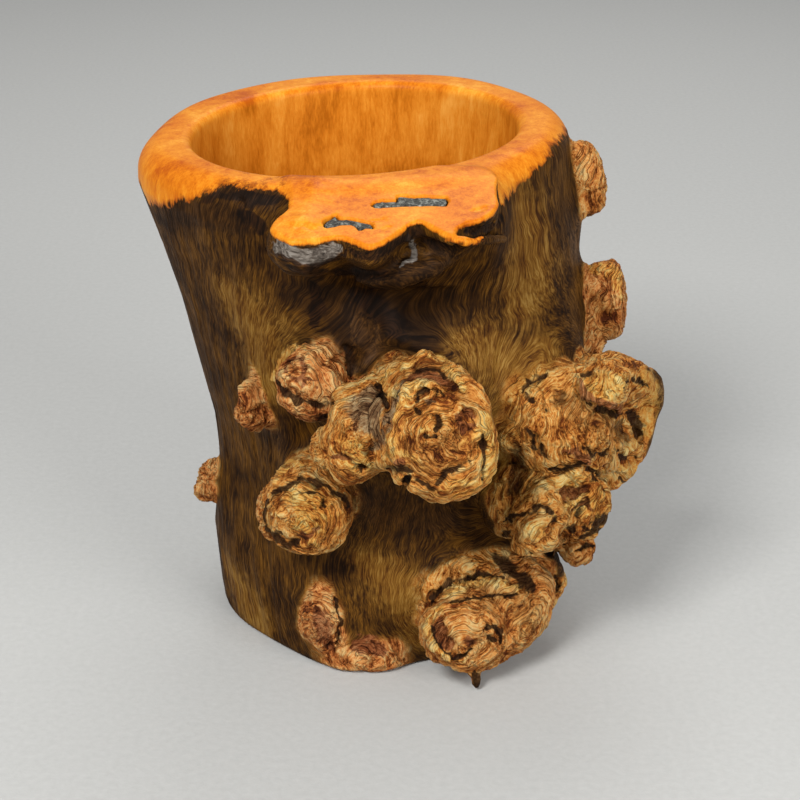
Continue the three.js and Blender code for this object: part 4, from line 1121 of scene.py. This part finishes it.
class Material:
    """A node material, with a short way to add nodes: inputs are values, or sockets to link."""

    def __init__(self, name, **shading):
        self.data = bpy.data.materials.new(name)
        self.data.use_nodes = True
        self.tree = self.data.node_tree
        self.shader = self.tree.nodes["Principled BSDF"]
        for socket, value in shading.items():
            self.set(self.shader, socket.replace("_", " "), value)

    def set(self, node, socket, value):
        if isinstance(value, bpy.types.NodeSocket):
            self.tree.links.new(value, node.inputs[socket])
        else:
            node.inputs[socket].default_value = value

    def node(self, kind, inputs, output=0, **settings):
        node = self.tree.nodes.new(kind)
        for name, value in settings.items():
            setattr(node, name, value)
        for socket, value in inputs.items():
            self.set(node, socket, value)
        return node.outputs[output]

    def attribute(self, name, output="Fac"):
        return self.node("ShaderNodeAttribute", {}, output, attribute_name=name)

    def place(self):
        return self.node("ShaderNodeTexCoord", {}, "Object")

    def noise(self, vector, size, detail=3, rough=0.55, bend=0):
        """Noise from 0 to 1 whose cells are size wide in the vector's unit."""
        return self.node("ShaderNodeTexNoise", {"Vector": vector, "Scale": 1 / size, "Detail": detail,
                                                "Roughness": rough, "Distortion": bend})

    def maths(self, operation, a, b=0.0):
        return self.node("ShaderNodeMath", {0: a, 1: b}, operation=operation)

    def total(self, *parts):
        """Sum of values, each with its weight."""
        whole = None
        for value, weight in parts:
            part = value if weight == 1 else self.maths("MULTIPLY", value, weight)
            whole = part if whole is None else self.maths("ADD", whole, part)
        return whole

    def blend(self, share, a, b):
        """A value between a and b. The node's values are its inputs 2 and 3."""
        return self.node("ShaderNodeMix", {0: share, 2: a, 3: b})

    def spread(self, value, low, high, to_low=0.0, to_high=1.0):
        """A value spread smoothly from one span to another."""
        inputs = {"Value": value, "From Min": low, "From Max": high, "To Min": to_low, "To Max": to_high}
        return self.node("ShaderNodeMapRange", inputs, interpolation_type="SMOOTHSTEP")

    def stretched(self, vector, factors):
        """Coordinates multiplied axis by axis: a figure gets longer where the factor is under 1."""
        return self.node("ShaderNodeVectorMath", {0: vector, 1: factors}, operation="MULTIPLY")

    def ramp(self, factor, *stops):
        node = self.tree.nodes.new("ShaderNodeValToRGB")
        self.set(node, "Fac", factor)
        elements = node.color_ramp.elements
        while len(elements) < len(stops):
            elements.new(0.5)
        for element, (place, tint) in zip(elements, stops):
            element.position, element.color = place, colour(tint)
        return node.outputs["Color"]

    def mix(self, factor, a, b):
        """A colour between a and b. The node's colours are its inputs 6 and 7 and its output 2."""
        return self.node("ShaderNodeMix", {0: factor, 6: a, 7: b}, 2, data_type="RGBA")

    def bump(self, height, distance, strength=1.0):
        return self.node("ShaderNodeBump", {"Height": height, "Distance": distance, "Strength": strength})

    def finish(self, colour_socket, roughness, normal):
        self.set(self.shader, "Base Color", colour_socket)
        self.set(self.shader, "Roughness", roughness)
        self.set(self.shader, "Normal", normal)
        return self.data


def colour(code):
    """Linear colour from a web colour."""
    parts = [int(code[i:i + 2], 16) / 255 for i in (1, 3, 5)]
    return (*[part / 12.92 if part < 0.04045 else ((part + 0.055) / 1.055) ** 2.4 for part in parts], 1)


# Places of four tints in a figure, from its dark lines to its crests.
LINED = (0.4, 0.46, 0.52, 0.6)
SANDED = (0.38, 0.47, 0.56, 0.66)
SOFT = (0.38, 0.48, 0.56, 0.66)
BLACKENED = (0.4, 0.48, 0.56, 0.64)


def tones(places, *tints):
    """Stops of a ramp."""
    return tuple(zip(places, tints))


# Tints of the bark, its light parts, golden and ruddy burls, and the sanded wood outside and in the bore.
BARK = tones(LINED, "#180a02", "#381f06", "#5c3a0e", "#86581a")
LIGHT_BARK = tones(LINED, "#63360d", "#945e1c", "#b68030", "#d6a957")
GOLD = tones(LINED, "#7c3a0e", "#d68234", "#fbb056", "#ffd88a")
RUDDY = tones(LINED, "#6a2f10", "#cc7438", "#f3a45c", "#ffd08a")
ORANGE = tones(SANDED, "#a74e09", "#c16a0f", "#cf7f1c", "#dc9a36")
WELL = tones(SANDED, "#9f570c", "#bb6d18", "#cb8026", "#d6943c")
CRACK_TINT = "#361604"
HOLLOW_SHADE_TINT = "#0d0502"
BAND_EDGE_TINT = "#74300a"
BAND_SHADOW_TINT = "#140b05"
# Paints of the marks and of ruddy burls, in the order in which they are laid: how strongly each covers, how
# softly it ends, and its tints.
TINTS = {
    "gold": (0.55, 0.45, LIGHT_BARK),
    "ruddy": (0.85, 0.25, RUDDY),
    # darker brown on the great burl's face and brow, and painted shade on the right burl, the foot burl and
    # the middle stub
    "umber_and_shade": (0.7, 0.4, tones(LINED, "#4a200a", "#9a5a22", "#c8843e", "#eaac5e")),
    # painted highlights on lit faces and rims of the burls and on the middle stub
    "painted_highlight": (0.8, 0.35, tones(LINED, "#9e5218", "#ec983c", "#ffc05c", "#ffde88")),
    # grey-brown wood, and painted shade in the great burl's valley and down the side of its wing
    "ash_and_shade": (0.8, 0.3, tones(LINED, "#352a1d", "#6f5b43", "#9b8466", "#c4ab86")),
    # painted shade
    "shade": (0.7, 0.4, tones(SOFT, "#080402", "#1c0f06", "#382010", "#5c3c1e")),
    "red": (0.85, 0.2, tones(LINED, "#2a1007", "#6b3319", "#995331", "#c07c4f")),
    # light crests and rims of the burls, partly painted highlights on them
    "pale": (0.8, 0.25, tones(LINED, "#ac6024", "#eea44a", "#ffc868", "#ffe498")),
    "grey": (0.9, 0.2, tones(SOFT, "#2a2522", "#6b6259", "#a39a8f", "#cfc8bf")),
    # black rot and bark, and painted shade in the slots, pits and crevices and under the lip
    "dark": (0.93, 0.25, tones(BLACKENED, "#060302", "#150a04", "#3a210f", "#6b4320")),
}
PAINT_LEVEL = 1.2  # what a paint's mask and its uneven parts add up to where the paint covers by half


def root_wood():
    m = Material("root_wood", IOR=1.42, Specular_IOR_Level=0.08)
    place = m.place()
    trunk_grain = m.attribute("trunk_grain", "Vector")
    burl_grain = m.attribute("burl_grain", "Vector")
    burl = m.attribute("burl")
    stood = m.attribute("relief")

    # the figure of the trunk: fine fibres and wider strands
    fibre = m.noise(trunk_grain, 0.34, 2, 0.6, 0.25)
    strand = m.noise(trunk_grain, 1.1, 3, 0.6, 0.2)
    cloud = m.noise(place, 0.011, 3, 0.6)
    bark = m.maths("ADD", m.total((fibre, 0.38), (strand, 0.26), (cloud, 0.26)), 0.05)

    # the figure of the burls: fine lines, folds and lumps
    line = m.noise(burl_grain, 0.36, 2, 0.6, 0.3)
    fold = m.noise(burl_grain, 1.4, 3, 0.6, 0.6)
    speck = m.noise(place, 0.0009, 3, 0.6, 0.4)
    lump = m.noise(place, 0.005, 3, 0.6)
    vein = m.maths("ABSOLUTE", m.maths("SUBTRACT", m.noise(burl_grain, 2.6, 3, 0.6, 0.8), 0.5))
    vein = m.spread(vein, 0.004, 0.03, 1, 0)
    # the folds come out lighter where they stand out and darker where they sink: partly painted shade in
    # their creases
    whorl = m.total((line, 0.34), (fold, 0.22), (speck, 0.22), (lump, 0.22), (stood, 0.12))
    figure = m.blend(burl, bark, whorl)
    wood = m.mix(burl, m.ramp(bark, *BARK), m.ramp(whorl, *GOLD))

    # what the marks paint: tints of the wood, and in places painted shade and painted highlights
    ragged = m.noise(place, 0.0016, 4, 0.65, 0.5)
    frayed = m.noise(place, 0.0005, 3, 0.6, 0.5)
    for name, (cover, soft, tints) in TINTS.items():
        mask = m.total((m.attribute(name), 1), (ragged, 0.5), (frayed, 0.4), (figure, 0.5))
        paint = m.spread(mask, PAINT_LEVEL - soft, PAINT_LEVEL + soft, 0, cover)
        wood = m.mix(paint, wood, m.ramp(figure, *tints))

    # thin cracks along the burls' folds
    cracks = m.maths("MULTIPLY", m.maths("MULTIPLY", vein, burl), 0.55)
    wood = m.mix(cracks, wood, colour(CRACK_TINT))

    # painted shade: hollows are darker
    hollow_shade = m.total((m.attribute("near_hollow_shade"), 0.55), (m.attribute("far_hollow_shade"), 0.5))
    wood = m.mix(m.spread(hollow_shade, 0.3, 0.95, 0, 0.88), wood, colour(HOLLOW_SHADE_TINT))

    # the sanded rim, lip and bore
    sand = m.attribute("sanded")
    upright = m.stretched(place, (1, 1, 0.25))
    streak = m.noise(upright, 0.003, 3, 0.55, 0.5)
    fine = m.noise(upright, 0.0006, 3, 0.6, 0.4)
    wide = m.noise(place, 0.02, 2, 0.5, 0.5)
    tone = m.total((streak, 0.3), (fine, 0.25), (wide, 0.45))
    orange = m.mix(m.attribute("well"), m.ramp(tone, *ORANGE), m.ramp(tone, *WELL))
    frayed_sand = m.total((sand, 1), (fine, 2.4), (streak, 2.4))
    orange = m.mix(m.spread(frayed_sand, 3.9, 2.4, 0, 0.7), orange, colour(BAND_EDGE_TINT))
    edge = m.spread(frayed_sand, 1.9, 2.7)
    wood = m.mix(m.spread(sand, -4, -0.2, 0, 0.6), wood, colour(BAND_SHADOW_TINT))
    wood = m.mix(edge, wood, orange)

    roughness = m.blend(edge, m.spread(figure, 0.4, 0.65, 0.66, 0.46), 0.4)
    burl_lines = m.total((line, 0.5), (fold, 0.5), (speck, 0.4), (vein, -0.35))
    lines = m.blend(burl, m.total((fibre, 0.6), (strand, 0.4)), burl_lines)
    strength = m.maths("MULTIPLY", m.spread(sand, 0.3, -0.3, 0.04, 1), m.blend(burl, 0.3, 1.0))
    normal = m.bump(lines, 0.0008, strength)
    return m.finish(wood, roughness, normal)


def filler_material():
    m = Material("crack_filler", IOR=1.4)
    grit = m.noise(m.place(), 0.0012, 4, 0.65, 0.5)
    body = m.ramp(grit, (0.35, "#12110e"), (0.5, "#3a3a34"), (0.62, "#6a6b62"), (0.72, "#8f8f86"))
    return m.finish(body, m.spread(grit, 0.3, 0.7, 0.8, 0.5), m.bump(grit, 0.0004))


def disc_material():
    m = Material("disc_wood", IOR=1.45)
    lengthwise = m.stretched(m.place(), (1, 0.12, 1))
    line = m.noise(lengthwise, 0.0016, 4, 0.6, 0.5)
    wide = m.noise(lengthwise, 0.008, 3, 0.5, 0.8)
    tone = m.total((line, 0.45), (wide, 0.55))
    body = m.ramp(tone, (0.38, "#8a4a18"), (0.5, "#b0702c"), (0.62, "#cf9450"))
    return m.finish(body, m.spread(tone, 0.4, 0.6, 0.5, 0.38), m.bump(line, 0.0002))


def floor_material():
    m = Material("floor", IOR=1.45, Specular_IOR_Level=0.2)
    cloud = m.noise(m.place(), 0.002, 3, 0.6)
    body = m.ramp(cloud, (0.3, "#aaaaa7"), (0.7, "#b0b0ad"))
    return m.finish(body, m.spread(cloud, 0.3, 0.7, 0.85, 0.95), m.bump(cloud, 0.0001))


def dress(thing, material):
    """Gives an object that one material."""
    thing.data.materials.clear()
    thing.data.materials.append(material)


wood, dark_filler = root_wood(), filler_material()
dress(sculpted_pot(), wood)
dress(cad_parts["root_body"], wood)
for seed, name in enumerate(CRACKS):
    dress(crack_filler(name, seed), dark_filler)
    dress(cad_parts[name], dark_filler)
dress(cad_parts["base_disc"], disc_material())

# The floor.
bpy.ops.mesh.primitive_plane_add(size=6)
floor = bpy.context.object
floor.name = "floor"
dress(floor, floor_material())

# Soft lights: place and side in metres, and power in watts.
LIGHTS = {
    "key": ((-0.4, -0.75, 0.85), 0.35, 14),
    "fill": ((0.65, -0.75, 0.45), 0.5, 7.5),
    "back": ((0.1, 0.6, 0.8), 0.5, 3.3),
}
LIT_POINT = Vector((0, 0, HEIGHT / 2)) * MM  # the lights point here
for name, (place, side, power) in LIGHTS.items():
    light = bpy.data.lights.new(name, "AREA")
    light.size, light.energy = side, power
    lamp = in_scene(name, light)
    lamp.location = place
    lamp.rotation_euler = (LIT_POINT - Vector(place)).to_track_quat("-Z", "Y").to_euler()

# The pale light from all round.
world = bpy.data.worlds.new("world")
world.use_nodes = True
backdrop = world.node_tree.nodes["Background"].inputs
backdrop["Color"].default_value = (0.9, 0.9, 0.92, 1)
backdrop["Strength"].default_value = 0.4
bpy.context.scene.world = world

# The photograph's camera.
lens = bpy.data.cameras.new("camera")
lens.sensor_width = 36
lens.lens = CAMERA_FOCUS / FRAME_SIDE * lens.sensor_width
camera = in_scene("camera", lens)
camera.location = Vector(CAMERA_PLACE) * MM
camera.rotation_euler = (math.radians(90 - CAMERA_TILT), 0, 0)
bpy.context.scene.camera = camera
bpy.context.scene.view_settings.view_transform = "Standard"
